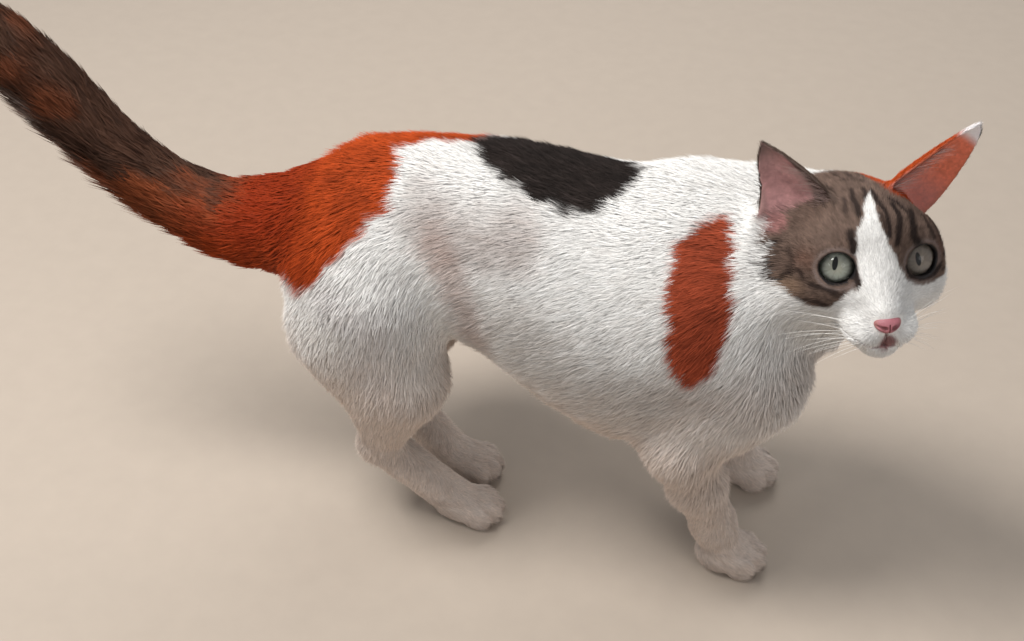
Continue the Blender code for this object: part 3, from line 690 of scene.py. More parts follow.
def on_eyeball(side, direction):
    """A place on the source's own eyeball, which bulges in front."""
    dome = max(0.0, float(direction @ eye_axes(side)[0]) - DOME_EDGE) / DOME_REACH
    height = EYE_RADIUS + DOME_HEIGHT * dome * dome * (3 - 2 * dome)
    return from_head(eye_centre(side) + direction * height)


def eyeball_points(side):
    """The eyeball as the source has it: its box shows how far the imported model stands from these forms."""
    work = bmesh.new()
    bmesh.ops.create_icosphere(work, subdivisions=3, radius=1)
    points = [on_eyeball(side, np.array(vert.co)) for vert in work.verts]
    work.free()
    return np.array(points)


SHIFT = np.array(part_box("eye_right")[0]) - eyeball_points(-1).min(axis=0)


def placed(name, mesh, normals=None):
    """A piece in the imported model's frame, from points in the frame of the forms."""
    mesh.transform(Matrix.Translation(SHIFT))
    obj = bpy.data.objects.new(name, mesh)
    bpy.context.scene.collection.objects.link(obj)
    if normals is not None:
        mesh.normals_split_custom_set_from_vertices(normals.tolist())
    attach(obj, "root")
    return obj


# The markings

WHITE = (0.86, 0.84, 0.81)
ORANGE = (0.42, 0.058, 0.010)
DEEP_ORANGE = (0.235, 0.022, 0.004)
PATCH_ORANGE = (0.34, 0.062, 0.026)
CHARCOAL = (0.021, 0.015, 0.013)
TABBY = (0.150, 0.100, 0.078)
STRIPE = (0.017, 0.011, 0.010)
TAN = (0.36, 0.235, 0.155)
RUSSET = (0.20, 0.085, 0.055)
TAIL_DARK = (0.056, 0.026, 0.016)
TAIL_RUST = (0.19, 0.050, 0.018)
TAIL_GREY = (0.30, 0.25, 0.22)
EAR_PINK = (0.62, 0.325, 0.315)
# The left ear's cup orange, painted paler and brighter as painted light
EAR_ORANGE_LIT = (0.80, 0.20, 0.11)
EAR_FUR = (0.110, 0.076, 0.062)
LID_BLACK = (0.012, 0.010, 0.010)
LIP = (0.23, 0.050, 0.052)
# Painted warm shade of the lower body, legs and paws, which lie in shadow
LEG_WARM_SHADE = (0.66, 0.50, 0.40)
DARK_SHEEN = (0.070, 0.052, 0.048)
EYE_RING = (0.30, 0.235, 0.215)
EAR_FOOT = (0.36, 0.165, 0.155)
CUP_SHADE = (0.22, 0.15, 0.13)
# The left ear's white tip, brightened as a painted highlight
EAR_TIP_WHITE_LIT = (0.93, 0.86, 0.85)
EAR_RIM = (0.30, 0.07, 0.03)
IRIS_GREY = (0.34, 0.355, 0.30)
IRIS_WARM = (0.36, 0.35, 0.26)
IRIS_EDGE = (0.10, 0.11, 0.085)
EYE_DARK = (0.02, 0.016, 0.014)
LEFT_EYE_SHADE = (0.60, 0.48, 0.46)
PUPIL = (0.003, 0.003, 0.003)
NOSE_PINK = (0.36, 0.125, 0.145)
NOSTRIL = (0.20, 0.055, 0.055)
NOSE_SIDE = (0.36, 0.150, 0.145)
WHISKER_WHITE = (0.88, 0.87, 0.84)
EAR_HAIR = (0.42, 0.30, 0.27)

# The patches of the trunk, unrolled: place along it, and the way round it from the spine, in mm
RUMP_EDGE = ((-127, -5), (-125, -20), (-125, -32), (-128, -44), (-140, -60), (-147, -72), (-153, -81),
             (-161, -93), (-176, -100), (-270, -100), (-270, 98), (-165, 90), (-140, 62), (-120, 48),
             (-95, 42), (-80, 34), (-80, 8), (-97, 7), (-115, 6))
SADDLE_EDGE = ((-88, 12), (-85, -4), (-76, -12), (-61, -21), (-42, -29), (-26, -32), (-11, -25), (-2, -16),
               (6, -3), (7, 15), (0, 32), (-20, 42), (-45, 45), (-70, 36), (-85, 24))
SHOULDER_EDGE = ((57, -23), (52, -28), (43, -35), (35, -43), (33, -56), (35, -73), (38, -90), (42, -103),
                 (52, -110), (62, -103), (67, -88), (68, -66), (65, -44), (60, -31))
# The white of the face, as an outline on the face map: the blaze, the muzzle and the throat
BLAZE_EDGE = ((-2, 61.7), (-7, 55), (-10.8, 45.1), (-13, 39.5), (-15.8, 38.2), (-17, 32.7), (-17, 24.8),
              (-18, 17.3), (-17.8, 9.4), (-16.4, 0.4), (-14.7, -4.8), (-17.7, -8.8), (-24.6, -12.8),
              (-28.6, -16.7), (-34.3, -23.7), (-38.7, -26.6), (-46.1, -25.9), (-54.2, -25.8), (-59.9, -23.3),
              (-67.6, -18.6), (-72.6, -14.7), (-77.2, -9), (-80.6, -0.7), (-82.4, 6.3), (-82.8, 15),
              (-86, 24), (-93, 34), (-112, 44), (-150, 60), (-176, 0), (-150, -80), (-88, -141), (88, -141),
              (150, -80), (176, 0), (150, 60), (112, 44), (93, 32), (86, 16), (80, 0), (72, -14), (62, -17),
              (54, -14), (47.3, -12.6), (39.2, -14.2), (29.8, -13.4), (21.3, -8.5), (16, 0.7), (13.8, 8.6),
              (9.6, 18.5), (6.8, 24.1), (5, 30.1), (2.1, 37.6), (1.8, 46.8), (2, 55.7), (1.3, 61), (3.5, 70))

# Dark marks of the mask on the face map: the line of each, its width in degrees and its strength
MARKS = (
    (((0, 78.4), (-2, 69.7), (-4.1, 62)), 1.9, 0.9),
    (((-12.7, 80.3), (-14.8, 65.7), (-12.8, 57), (-13.4, 47.9)), 2.2, 0.95),
    (((-22.6, 66.3), (-23.5, 51.8)), 1.8, 0.7),
    (((-34.7, 91.3), (-30.9, 67.5), (-33.5, 58.8)), 1.8, 0.5),
    (((-21.6, 33.5), (-21, 27), (-20.2, 19.7)), 2.6, 1.0),
    (((-16, 105), (4.9, 100), (9.9, 92)), 2.4, 0.7),
    (((6.8, 71.4), (5.3, 57.4), (8.6, 49.5), (9.3, 43.7)), 1.7, 1.0),
    (((9.4, 41.3), (7.2, 29.1)), 1.9, 1.0),
    (((18, 60.9), (23.8, 56), (26.6, 50.2)), 2.0, 1.0),
    (((17.8, 53.2), (19.3, 44.7), (17.6, 37.7), (15.1, 27.9), (13.1, 22.4)), 2.1, 1.0),
    (((3.9, 45.7), (5.7, 39.5), (5.3, 32.9)), 1.9, 0.7),
    (((33.2, 44.6), (28, 34.2), (27.6, 25.5), (33, 18)), 2.9, 1.0),
    (((26.6, 50.2), (29.2, 44.1)), 1.8, 0.9),
    (((47, 38.8), (45.2, 29), (46.4, 20.9)), 1.8, 0.8),
    (((58, 34), (57, 22), (60, 12)), 2.2, 0.7),
    (((-79.7, 23.5), (-83.3, 13), (-82.3, 5.5), (-79.7, -3.7), (-75.9, -10.4), (-72.2, -12.2), (-69.4, -7.4),
      (-66.9, -0.9)), 1.6, 0.95),
    (((-69.7, 17.5), (-66.7, 9.4), (-67, -0.1)), 1.6, 0.7),
    (((-80.9, 11.1), (-77.6, -2.7)), 1.1, 0.5),
    (((-78.2, 15.5), (-72.7, -2.4)), 1.1, 0.5),
    (((-61.6, 1.4), (-56.9, -4.1)), 1.5, 0.85),
    (((-51.6, -7.7), (-45.4, -9), (-40.3, -10.5), (-33.6, -13.3)), 1.7, 0.85),
    (((-58.2, -21.5), (-53, -20.3), (-44.4, -21.1), (-39.4, -23)), 1.5, 0.75),
    (((-32.8, -15.5), (-28.9, -13.4)), 1.6, 0.7),
    (((-49, 76), (-42, 62)), 1.8, 0.6),
    (((-40.1, 95.4), (-33.4, 68.5)), 1.6, 0.7),
    (((-20.2, 2.9), (-18.6, -1.2), (-17.1, -5.9)), 2.0, 1.0),
    (((22, 2), (25, -6), (33, -9.5), (44, -8.6), (53, -3)), 1.7, 1.0),
    (((60, 2), (70, -3), (80, -4)), 1.9, 0.8),
    (((56, -8), (66, -12), (74, -11)), 1.7, 0.7),
    (((-20, 118), (-22, 150)), 3.0, 0.7),
    (((20, 118), (22, 150)), 3.0, 0.7),
    (((0, 112), (0, 150)), 3.2, 0.7),
)

# Soft painted shade in the white coat, where the flank's hollow, the fold to the groin with a pink-brown
# cast, the belly, the chest and the back of the thigh lie in shadow: the line of each from the side, its
# width in mm, its strength and colour
PAINTED_SHADES = (
    (((-104, 238), (-88, 234), (-66, 232), (-50, 237)), 15, 0.62, (0.36, 0.28, 0.25)),
    (((-97, 226), (-86, 212), (-75, 192), (-70, 168)), 11, 0.52, (0.42, 0.26, 0.21)),
    (((-45, 190), (-20, 170), (25, 160)), 20, 0.35, (0.40, 0.33, 0.28)),
    (((50, 168), (90, 172), (112, 178)), 20, 0.50, (0.40, 0.31, 0.26)),
    (((-152, 190), (-126, 178), (-132, 150), (-125, 128)), 14, 0.30, (0.42, 0.36, 0.36)),
)


HASH_PRIMES = np.array((73856093, 19349663, 83492791))


def noise(points, size, seed):
    """Smooth random values from -1 to 1, one draw at each corner of a lattice."""
    scaled = points / size + seed * 17.31
    cell = np.floor(scaled).astype(np.int64)
    share = scaled - cell
    share = share * share * (3 - 2 * share)
    total = np.zeros(len(points))
    for corner in np.ndindex(2, 2, 2):
        at = cell + np.array(corner)
        hashed = (at * HASH_PRIMES).T
        hashed = hashed[0] ^ hashed[1] ^ hashed[2] ^ (seed * 7919)
        hashed = ((hashed ^ (hashed >> 13)) * 1274126177) & 0x7fffffff
        draw = ((hashed ^ (hashed >> 15)) & 0xffff) / 32767.5 - 1
        total += draw * np.prod(np.where(np.array(corner), share, 1 - share), axis=1)
    return total


def from_step(places, start, end):
    """Distance from the straight line between two places."""
    along = end - start
    share = np.clip((places - start) @ along / (along @ along), 0, 1)
    return np.linalg.norm(places - start - share[:, None] * along, axis=1)


def from_line(places, line):
    """Distance from a line through these points."""
    line = np.array(line, float)
    return np.minimum.reduce([from_step(places, a, b) for a, b in zip(line[:-1], line[1:])])


def from_edge(places, corners):
    """Distance from a closed outline, negative inside it."""
    corners = np.array(corners, float)
    nearest = np.full(len(places), np.inf)
    inside = np.zeros(len(places), bool)
    for a, b in zip(corners, np.roll(corners, -1, axis=0)):
        nearest = np.minimum(nearest, from_step(places, a, b))
        crosses = (a[1] > places[:, 1]) != (b[1] > places[:, 1])
        rise = (b - a)[1] or 1e-9
        inside ^= crosses & (places[:, 0] < a[0] + (places[:, 1] - a[1]) * (b - a)[0] / rise)
    return np.where(inside, -nearest, nearest)


def unrolled(points):
    """Place along the trunk, and the way round it from the spine, to the left positive, in mm."""
    middle, _, _ = trunk_section(points[:, 0])
    height = points[:, 2] - middle
    around = np.arctan2(points[:, 1], height) * (np.hypot(points[:, 1], height) + 0.0045)
    return np.stack([points[:, 0], around], 1) / MM


def face_map(local):
    """The head's surface as a round map about the way it faces: degrees from there, to the left and up."""
    length = np.maximum(np.linalg.norm(local, axis=1), 1e-9)
    away = np.degrees(np.arccos(np.clip(local[:, 0] / length, -1, 1)))
    side = np.maximum(np.hypot(local[:, 1], local[:, 2]), 1e-9)
    return np.stack([away * local[:, 1] / side, away * local[:, 2] / side], 1)


def mixed(under, over, share):
    """One colour laid over another, by a share from 0 to 1 at each point."""
    return under * (1 - share[:, None]) + np.array(over) * share[:, None]


def varied(colour, value):
    """One colour made lighter or darker at each point."""
    return np.array(colour) * value[:, None]


def on_tail_line(points, values):
    """What the values along the middle line of the tail come to beside each point."""
    return np.interp(points[:, 0], TAIL_LINE[::-1, 0], values[::-1])


def tail_rise(points):
    """Height over the middle line of the tail, as a share of its girth there."""
    return (points[:, 2] - on_tail_line(points, TAIL_LINE[:, 2])) / on_tail_line(points, TAIL_LINE[:, 3])


def white_coat(points, streak, mottle):
    """White with soft painted shade in it, and painted warm shade down the legs."""
    colour = varied(WHITE, 1 + 0.03 * mottle + 0.03 * streak)
    from_side = points[:, [0, 2]] / MM
    cloud = noise(points, 0.008, 10)
    # each line of painted shade darkens the white towards its tone
    for line, width, strength, tone in PAINTED_SHADES:
        share = strength * smooth(1.7, 0.1, from_line(from_side, line) / width + 0.25 * cloud)
        colour = mixed(colour, tone, np.clip(share * (1 + 0.15 * streak), 0, 0.8))
    # painted warm shade, darker and warmer towards the bottom, full below 0.10 m
    low = smooth(0.19, 0.10, points[:, 2] + 0.006 * mottle)
    return mixed(colour, LEG_WARM_SHADE, np.clip(0.7 * low + 0.10 * streak, 0, 0.8))


def body_colour(points):
    """The calico of the trunk: orange rump and shoulder patch and a charcoal saddle on white."""
    places = unrolled(points)
    ragged = 2.6 * noise(points, 0.006, 3) + 1.6 * noise(points, 0.0022, 4)
    streak = noise(points * np.array((0.25, 1, 1)), 0.0016, 5)
    mottle = noise(points, 0.011, 6)
    colour = white_coat(points, streak, mottle)
    deep = smooth(-0.155, -0.20, points[:, 0] + 0.012 * mottle)
    orange = varied(ORANGE, 1 + 0.18 * mottle + 0.30 * streak)
    orange = mixed(orange, DEEP_ORANGE, deep * (0.55 + 0.35 * streak))
    rump = smooth(3.5, -3.5, from_edge(places, RUMP_EDGE) + ragged * 1.7)
    lifted = points[:, 2] + 0.003 * mottle + 0.02 * smooth(-0.2, -0.23, points[:, 0])
    colour = mixed(colour, orange, rump * smooth(0.178, 0.190, lifted))
    saddle = smooth(3.0, -3.0, from_edge(places, SADDLE_EDGE) + ragged * 1.5)
    dark = varied(CHARCOAL, 1 + 0.35 * streak + 0.25 * mottle)
    colour = mixed(colour, mixed(dark, DARK_SHEEN, 0.5 * smooth(0.4, 1.0, streak)), saddle)
    patch = smooth(2.5, -2.5, from_edge(places, SHOULDER_EDGE) + ragged * 0.9)
    return mixed(colour, varied(PATCH_ORANGE, 1 + 0.15 * mottle + 0.28 * streak), patch)


def tail_colour(points):
    """Orange that deepens along the tail to rust and then to brown-black, with grey wisps below."""
    mottle = noise(points, 0.012, 7)
    streak = noise(points * np.array((0.3, 1, 0.5)), 0.0018, 8)
    rise = tail_rise(points) + 0.25 * mottle
    along = -points[:, 0] + 0.008 * mottle
    colour = varied(ORANGE, 0.80 + 0.15 * mottle + 0.30 * streak)
    colour = mixed(colour, DEEP_ORANGE, smooth(0.150, 0.20, along) * 0.80 * smooth(-0.7, 0.5, rise))
    outer = smooth(0.225, 0.285, along + 0.020 * rise)
    colour = mixed(colour, varied(TAIL_RUST, 1 + 0.3 * streak), outer)
    far = smooth(0.300, 0.330, along)
    brown = smooth(-0.1, 0.6, noise(points, 0.020, 9)) * far
    ink = mixed(varied(TAIL_DARK, 1 + 0.45 * streak), TAIL_RUST, 0.6 * brown)
    colour = mixed(colour, ink, smooth(0.282, 0.312, along + 0.062 * rise))
    wisps = smooth(-0.20, -0.80, rise) * far * smooth(-0.5, 0.4, streak)
    return mixed(colour, TAIL_GREY, 0.75 * wisps)


def ridge(places, centre, width):
    return np.exp(-((places - centre) / width) ** 2)


def mask_colour(local, places, wave, streak):
    """The grey-brown tabby of the mask: tan and russet cheeks, rings round the eyes and dark stripes."""
    across, up = places.T
    colour = varied(TABBY, 1 + 0.32 * streak + 0.14 * wave)
    tan = ridge(np.hypot(np.abs(across) - 66, (up + 13) / 0.8), 0, 8)
    colour = mixed(colour, TAN, 0.85 * tan * (0.8 + 0.2 * wave))
    russet = ridge(np.hypot(np.abs(across) - 56, up - 12), 0, 9)
    colour = mixed(colour, RUSSET, 0.55 * russet * (0.7 + 0.3 * wave))
    for side in (1, -1):
        ring = ridge(eye_opening(local, side) / MM, 2.6, 0.9) * (local[:, 0] > 16 * MM)
        colour = mixed(colour, EYE_RING, 0.55 * ring)
    wander = places + np.stack([noise(local, 0.003, 14), noise(local, 0.003, 15)], 1) * 0.9
    stripes = np.zeros(len(local))
    for line, width, strength in MARKS:
        mark = strength * smooth(1.9 * width, 0.5 * width, from_line(wander, line))
        stripes = np.maximum(stripes, mark)
    return mixed(colour, STRIPE, stripes * (0.90 + 0.10 * streak))


def head_colour(local):
    """The mask, orange beside the left ear, parted by a white blaze that widens over the muzzle."""
    places = face_map(local)
    places[:, 0] += 6.0 * smooth(-58, -84, places[:, 0])
    wave = noise(local, 0.006, 11)
    streak = noise(local * np.array((0.4, 1, 0.6)), 0.0011, 12)
    across, up = places.T
    colour = mask_colour(local, places, wave, streak)
    ear_foot = smooth(1.25, 0.75, np.hypot((across + 85) / 7.5, (up - 43) / 15) + 0.12 * streak)
    colour = mixed(colour, EAR_FOOT, (0.80 + 0.20 * streak) * ear_foot)
    beside_ear = smooth(-4, 4, across - 27 + 1.5 * wave)
    colour = mixed(colour, ORANGE, beside_ear * smooth(-4, 4, up - 66 + 2 * wave + 0.35 * (across - 30)))
    white = smooth(1.6, -1.6, from_edge(places, BLAZE_EDGE) + 1.1 * wave + 1.0 * streak)
    mouth = smooth(4.6, 1.8, np.hypot((across - 0.5) / 1.5, (up + 38) / 1.5) + 0.8 * wave)
    return mixed(colour, mixed(varied(WHITE, 1 + 0.03 * streak), LIP, 0.85 * mouth), white)


def ear_colour(local, side):
    """Furred outside and bare inside; the left ear is orange with its cup painted lighter as lit, and a white
    tip that is partly a painted highlight.
    """
    _, _, share, across, half, over = ear_places(local, side)
    streak = noise(local, 0.0013, 13)
    rim = smooth(0.78, 0.97, np.maximum(np.abs(across) / half, share))
    if side > 0:
        back = varied(ORANGE, 1.05 + 0.30 * streak)
        # the cup painted as lit orange, pinker towards its foot
        cup = mixed(varied(EAR_ORANGE_LIT, 1.0 + 0.25 * streak), EAR_PINK, 0.5 * smooth(0.5, 0.1, share))
        # the white tip, partly a painted highlight
        tip = smooth(0.78, 0.90, share)
        back, cup = (mixed(tone, EAR_TIP_WHITE_LIT, tip) for tone in (back, cup))
        cup = mixed(cup, EAR_RIM, 0.5 * rim * (1 - tip))
    else:
        back = varied(TABBY, 0.85 + 0.25 * streak)
        cup = varied(EAR_PINK, 0.92 + 0.16 * streak + 0.16 * noise(local, 0.005, 16))
        cup = mixed(cup, CUP_SHADE, 0.5 * smooth(0.55, 0.95, share))
        towards_crown = across * np.sign(ear_axes(side)[2][2] @ np.array((0, -side, 0)))
        band = 0.12 + 0.80 * np.clip(share, 0, 1) ** 0.8
        cup = mixed(cup, EAR_FUR, smooth(-0.10, 0.10, towards_crown / half - band + 0.08 * streak))
        cup = mixed(cup, EAR_FUR, 0.6 * rim)
    return mixed(back, cup, smooth(-0.3, 0.3, over / MM))


COLOUR_REACH = 0.004
# The middle of the ground round an ear's foot, in mm on the left side, and its inner and outer radius
EAR_GROUND = ((-1, 27, 22), 20, 23)
COLOUR_LIMITS = (0.004, 0.95)


def head_share(weight, found, local):
    """How far a point has the head's colours: the skull, the ears and the ground round their feet."""
    share = smooth(0.35, 0.65, weight["skull"] + weight["ear_1"] + weight["ear_-1"])
    share = np.maximum(share, smooth(8 * MM, 4 * MM, found["skull"]))
    above = smooth(24 * MM, 16 * MM, local[:, 2])
    share = np.maximum(share, smooth(16 * MM, 11 * MM, found["skull"]) * above)
    middle, inner, outer = EAR_GROUND
    for side in (1, -1):
        beside = np.linalg.norm(local / MM - np.array(sided(middle, side)), axis=1)
        share = np.maximum(share, smooth(outer, inner, beside))
    return share


def coat_colour(points, found, local):
    """The colour of the coat at each point, the same for the skin and the tufts on it."""
    weight = weights_of(found, COLOUR_REACH)
    x, z = points[:, 0], points[:, 2]
    share = smooth(-0.172, -0.186, x) * smooth(0.16, 0.175, z)
    share = np.maximum(share * (1 - weight["skull"]), 0)
    share = share * smooth(0.2, 0.5, weight["tail"] + smooth(-0.19, -0.2, x))
    colour = mixed(body_colour(points), tail_colour(points), share)
    zones = [(head_share(weight, found, local), head_colour, ())]
    zones += [(smooth(0.3, 0.7, weight[f"ear_{side}"]), ear_colour, (side,)) for side in (1, -1)]
    for share, zone_colour, settings in zones:
        near = share > 0
        if near.any():
            colour[near] = mixed(colour[near], zone_colour(local[near], *settings), share[near])
    return np.clip(colour, *COLOUR_LIMITS)


def ahead_of_eye(local, side, distance):
    """Whether a point is farther out than this from the eyeball's middle, the way the eye looks."""
    return (local - eye_centre(side)) @ eye_axes(side)[0] > distance


def rim_share(local):
    """How dark the skin is beside the eyes, as the bare rims of the lids are."""
    share = np.zeros(len(local))
    for side in (1, -1):
        rim = smooth(1.5 * MM, 0.8 * MM, eye_opening(local, side))
        share = np.maximum(share, rim * ahead_of_eye(local, side, 4 * MM))
    return share


# The lie of the coat

def onto_skin(flow, normals):
    flow = flow - (flow * normals).sum(axis=1, keepdims=True) * normals
    return rows_unit(flow + 1e-6)


def tail_way(points):
    """Which way the tail runs beside each point, towards its end."""
    rise = on_tail_line(points, np.gradient(TAIL_LINE[:, 2], TAIL_LINE[:, 0]))
    return rows_unit(np.stack([-np.ones(len(points)), np.zeros(len(points)), -rise], 1))


LIE_REACH = 0.010
CHEST_LIE = (-0.45, 0, -1.0)
RUMP_LIE = (-0.62, 0, -0.80)
LEG_LIE = (-0.22, 0, -1.0)
PAW_LIE = (1.0, 0, -0.35)
# Where the hair of the face parts, from the middle of the nose
PARTING = (4 * MM, 0, 2 * MM)


def lie(points, normals, found, local):
    """Which way the hair lies: back from the nose, back and down the trunk and legs, out along the tail."""
    weight = {name: share[:, None] for name, share in weights_of(found, LIE_REACH).items()}
    x, z = points[:, 0], points[:, 2]
    zero = np.zeros(len(points))
    flow = np.stack([zero - 1, zero, -0.55 * np.abs(normals[:, 1])], 1)
    flow = mixed(flow, CHEST_LIE, smooth(0.070, 0.100, x))
    flow = mixed(flow, RUMP_LIE, smooth(-0.115, -0.150, x))
    flow = flow * weight["trunk"] + tail_way(points) * weight["tail"]
    leg = mixed(np.array(LEG_LIE), PAW_LIE, smooth(0.034, 0.018, z))
    flow = flow + leg * sum(weight[name] for name in PAWS)
    away = local - np.array(NOSE_PLACE) - np.array(PARTING)
    flow = flow + rows_unit(away) @ HEAD_AXES * weight["skull"]
    for side in (1, -1):
        flow = flow + (ear_axes(side)[2] @ HEAD_AXES)[0] * weight[f"ear_{side}"]
    return onto_skin(flow, normals)


# The coat: tufts in closed meshes, each with its root in the skin

def turn_about(vectors, axes, angles):
    c, s = np.cos(angles)[:, None], np.sin(angles)[:, None]
    along = (vectors * axes).sum(axis=1, keepdims=True)
    return vectors * c + np.cross(axes, vectors) * s + axes * along * (1 - c)


SIZE_REACH = 0.006


def tuft_sizes(points, found, local):
    """For each place: a tuft's length and width in mm, its lift in degrees, and tufts to a square mm."""
    weight = weights_of(found, SIZE_REACH)
    x, z = points[:, 0], points[:, 2]
    forward, across, height = local.T / MM
    low = smooth(0.10, 0.03, z)
    chest = smooth(0.065, 0.095, x) * smooth(0.24, 0.21, z)
    middle, _, half_depth = trunk_section(x)
    belly = smooth(0.35, 0.95, (middle - z) / half_depth)
    rump = smooth(-0.12, -0.16, x)
    tip = smooth(-0.20, -0.27, x)
    below = smooth(0.2, -0.8, tail_rise(points))
    front = smooth(10, 34, forward)
    jowl = smooth(24, 38, np.abs(across)) * smooth(12, -10, height)
    throat = smooth(-26, -40, height) * smooth(30, 16, forward)
    near_eye = smooth(22, 14, eye_distance(local) / MM)
    face = (5.0 - 2.2 * front + 2.6 * jowl + 3.0 * throat) * (1 - 0.45 * near_eye)
    trunk_long = 8.5 + 2 * chest + 1.5 * belly + 2.5 * rump
    rows = {
        "trunk": (trunk_long, 0.70, 16 + 3 * chest + 3 * belly + 4 * rump, 1.32),
        "tail": (13 + 3 * tip + 5 * below * tip, 1.0, 13 + 11 * below * tip, 0.78),
        "skull": (face, 0.55 - 0.12 * front + 0.2 * throat, 16 + 5 * jowl + 4 * throat, 2.8 + 1.9 * front),
    }
    for name in PAWS:
        rows[name] = (8.5 - 4.2 * low, 0.80 - 0.22 * low, 17 - 4 * low, 0.90 + 0.55 * low)
    for side in (1, -1):
        rows[f"ear_{side}"] = (3.4, 0.42, 9, 3.2)
    order = ("trunk", "tail", *PAWS, "skull", "ear_1", "ear_-1")
    return [sum(weight[name] * rows[name][i] for name in order) for i in range(4)]


SOLE_BARE = 0.0020


def bare_share(points, found, local):
    """Where no coat grows: the rims of the lids, the lips, the nose, inside the ears and under the soles."""
    bare = points[:, 2] < SOLE_BARE
    weight = weights_of(found, COLOUR_REACH)
    for side in (1, -1):
        bare |= (eye_opening(local, side) < 1.15 * MM) & ahead_of_eye(local, side, 3 * MM)
        bare |= (ear_places(local, side)[5] > 0.1 * MM) & (weight[f"ear_{side}"] > 0.5)
    bare |= nose_pad(local) < 0.9 * MM
    at_lips = (local[:, 0] > 24 * MM) & (np.abs(local[:, 1]) < 17 * MM)
    return bare | ((np.abs(mouth_line(local)) < 1.3 * MM) & at_lips)


SQUARE_MM_TO_SQUARE_METRE = 1e6


def roots_on(points, faces, values, density):
    """Roots drawn evenly over the skin, as many to a square mm as the density says, and the values there."""
    a, b, c = (points[faces[:, i]] for i in range(3))
    area = np.linalg.norm(np.cross(b - a, c - a), axis=1) / 2
    wanted = area * SQUARE_MM_TO_SQUARE_METRE * density[faces].mean(axis=1)
    steps = np.cumsum(wanted)
    count = int(steps[-1])
    places = np.arange(count) + RNG.random(count)
    chosen = np.minimum(np.searchsorted(steps, places), len(faces) - 1)
    u, v = RNG.random((2, count))
    flip = u + v > 1
    u, v = np.where(flip, 1 - u, u)[:, None], np.where(flip, 1 - v, v)[:, None]
    tri = faces[chosen]
    root = points[tri[:, 0]] * (1 - u - v) + points[tri[:, 1]] * u + points[tri[:, 2]] * v
    return root, values[tri[:, 0]] * (1 - u - v) + values[tri[:, 1]] * u + values[tri[:, 2]] * v


LANCE_FACES = ((0, 1, 3), (1, 2, 3), (2, 0, 3), (0, 2, 1))
LOCK_FACES = ((0, 2, 1), (0, 1, 4), (0, 4, 3), (1, 2, 5), (1, 5, 4), (2, 0, 3), (2, 3, 5),
              (3, 4, 6), (4, 5, 6), (5, 3, 6))


# Shares of a tuft's length and width
ROOT_HEIGHT = 0.42
MIDDLE_HEIGHT = 0.34
MIDDLE_PLACE = 0.52
MIDDLE_HALF_WIDTH = 0.40
SIDEWAYS = 0.16


def tufts(root, normal, way, long, wide, lift, bend, curved):
    """Corners of each tuft: a flat three-sided root, for a lock a bent middle, and the tip."""
    side = rows_unit(np.cross(normal, way))
    long, wide = (long * MM)[:, None], (wide * MM)[:, None]
    rise = np.radians(lift)[:, None]
    ahead = way * np.cos(rise) + normal * np.sin(rise)
    over = normal * np.cos(rise) - way * np.sin(rise)
    sunk = root - normal * 0.5 * wide
    base = [sunk - side * wide / 2, sunk + side * wide / 2, sunk + over * wide * ROOT_HEIGHT]
    drift = side * (bend * SIDEWAYS)[:, None] * long
    if not curved:
        return np.stack(base + [root + ahead * long + drift], 1)
    middle = root + ahead * long * MIDDLE_PLACE + drift * 0.3
    half = side * wide * MIDDLE_HALF_WIDTH
    ring = [middle - half, middle + half, middle + over * wide * MIDDLE_HEIGHT]
    end = way * np.cos(rise * 0.5) + normal * np.sin(rise * 0.5)
    return np.stack(base + ring + [middle + end * long * 0.48 + drift * 0.7], 1)


TUFT_FLOOR = 0.6 * MM
TUFT_LIMITS = (0.003, 0.97)


def tuft_shades(light, curved):
    """Painted shade along each tuft: how bright each corner is, dim at its root, most so where the coat is
    dark, to its tip.
    """
    dim = 0.66 + 0.20 * light
    middle = [(1 + dim) / 2] * 3 if curved else []
    return np.concatenate([dim] * 3 + middle + [1.06 - 0.03 * light], axis=1)


def tuft_facings(normal, way, curved):
    """The normals of each tuft's corners, near the skin's own, so that the coat shades as one surface."""
    count = len(normal)
    side = rows_unit(np.cross(normal, way))
    rough = 1.0 if curved else 0.62
    across, along = 0.32 * RNG.standard_normal((count, 1)), 0.22 * RNG.standard_normal((count, 1))
    tilt = rough * (across * side + along * way)
    spread = np.array([-0.5, 0.5, 0.0] * (2 if curved else 1) + [0.0]) * rough
    facing = normal[:, None] + tilt[:, None] + spread[None, :, None] * side[:, None]
    return rows_unit(facing.reshape(-1, 3))


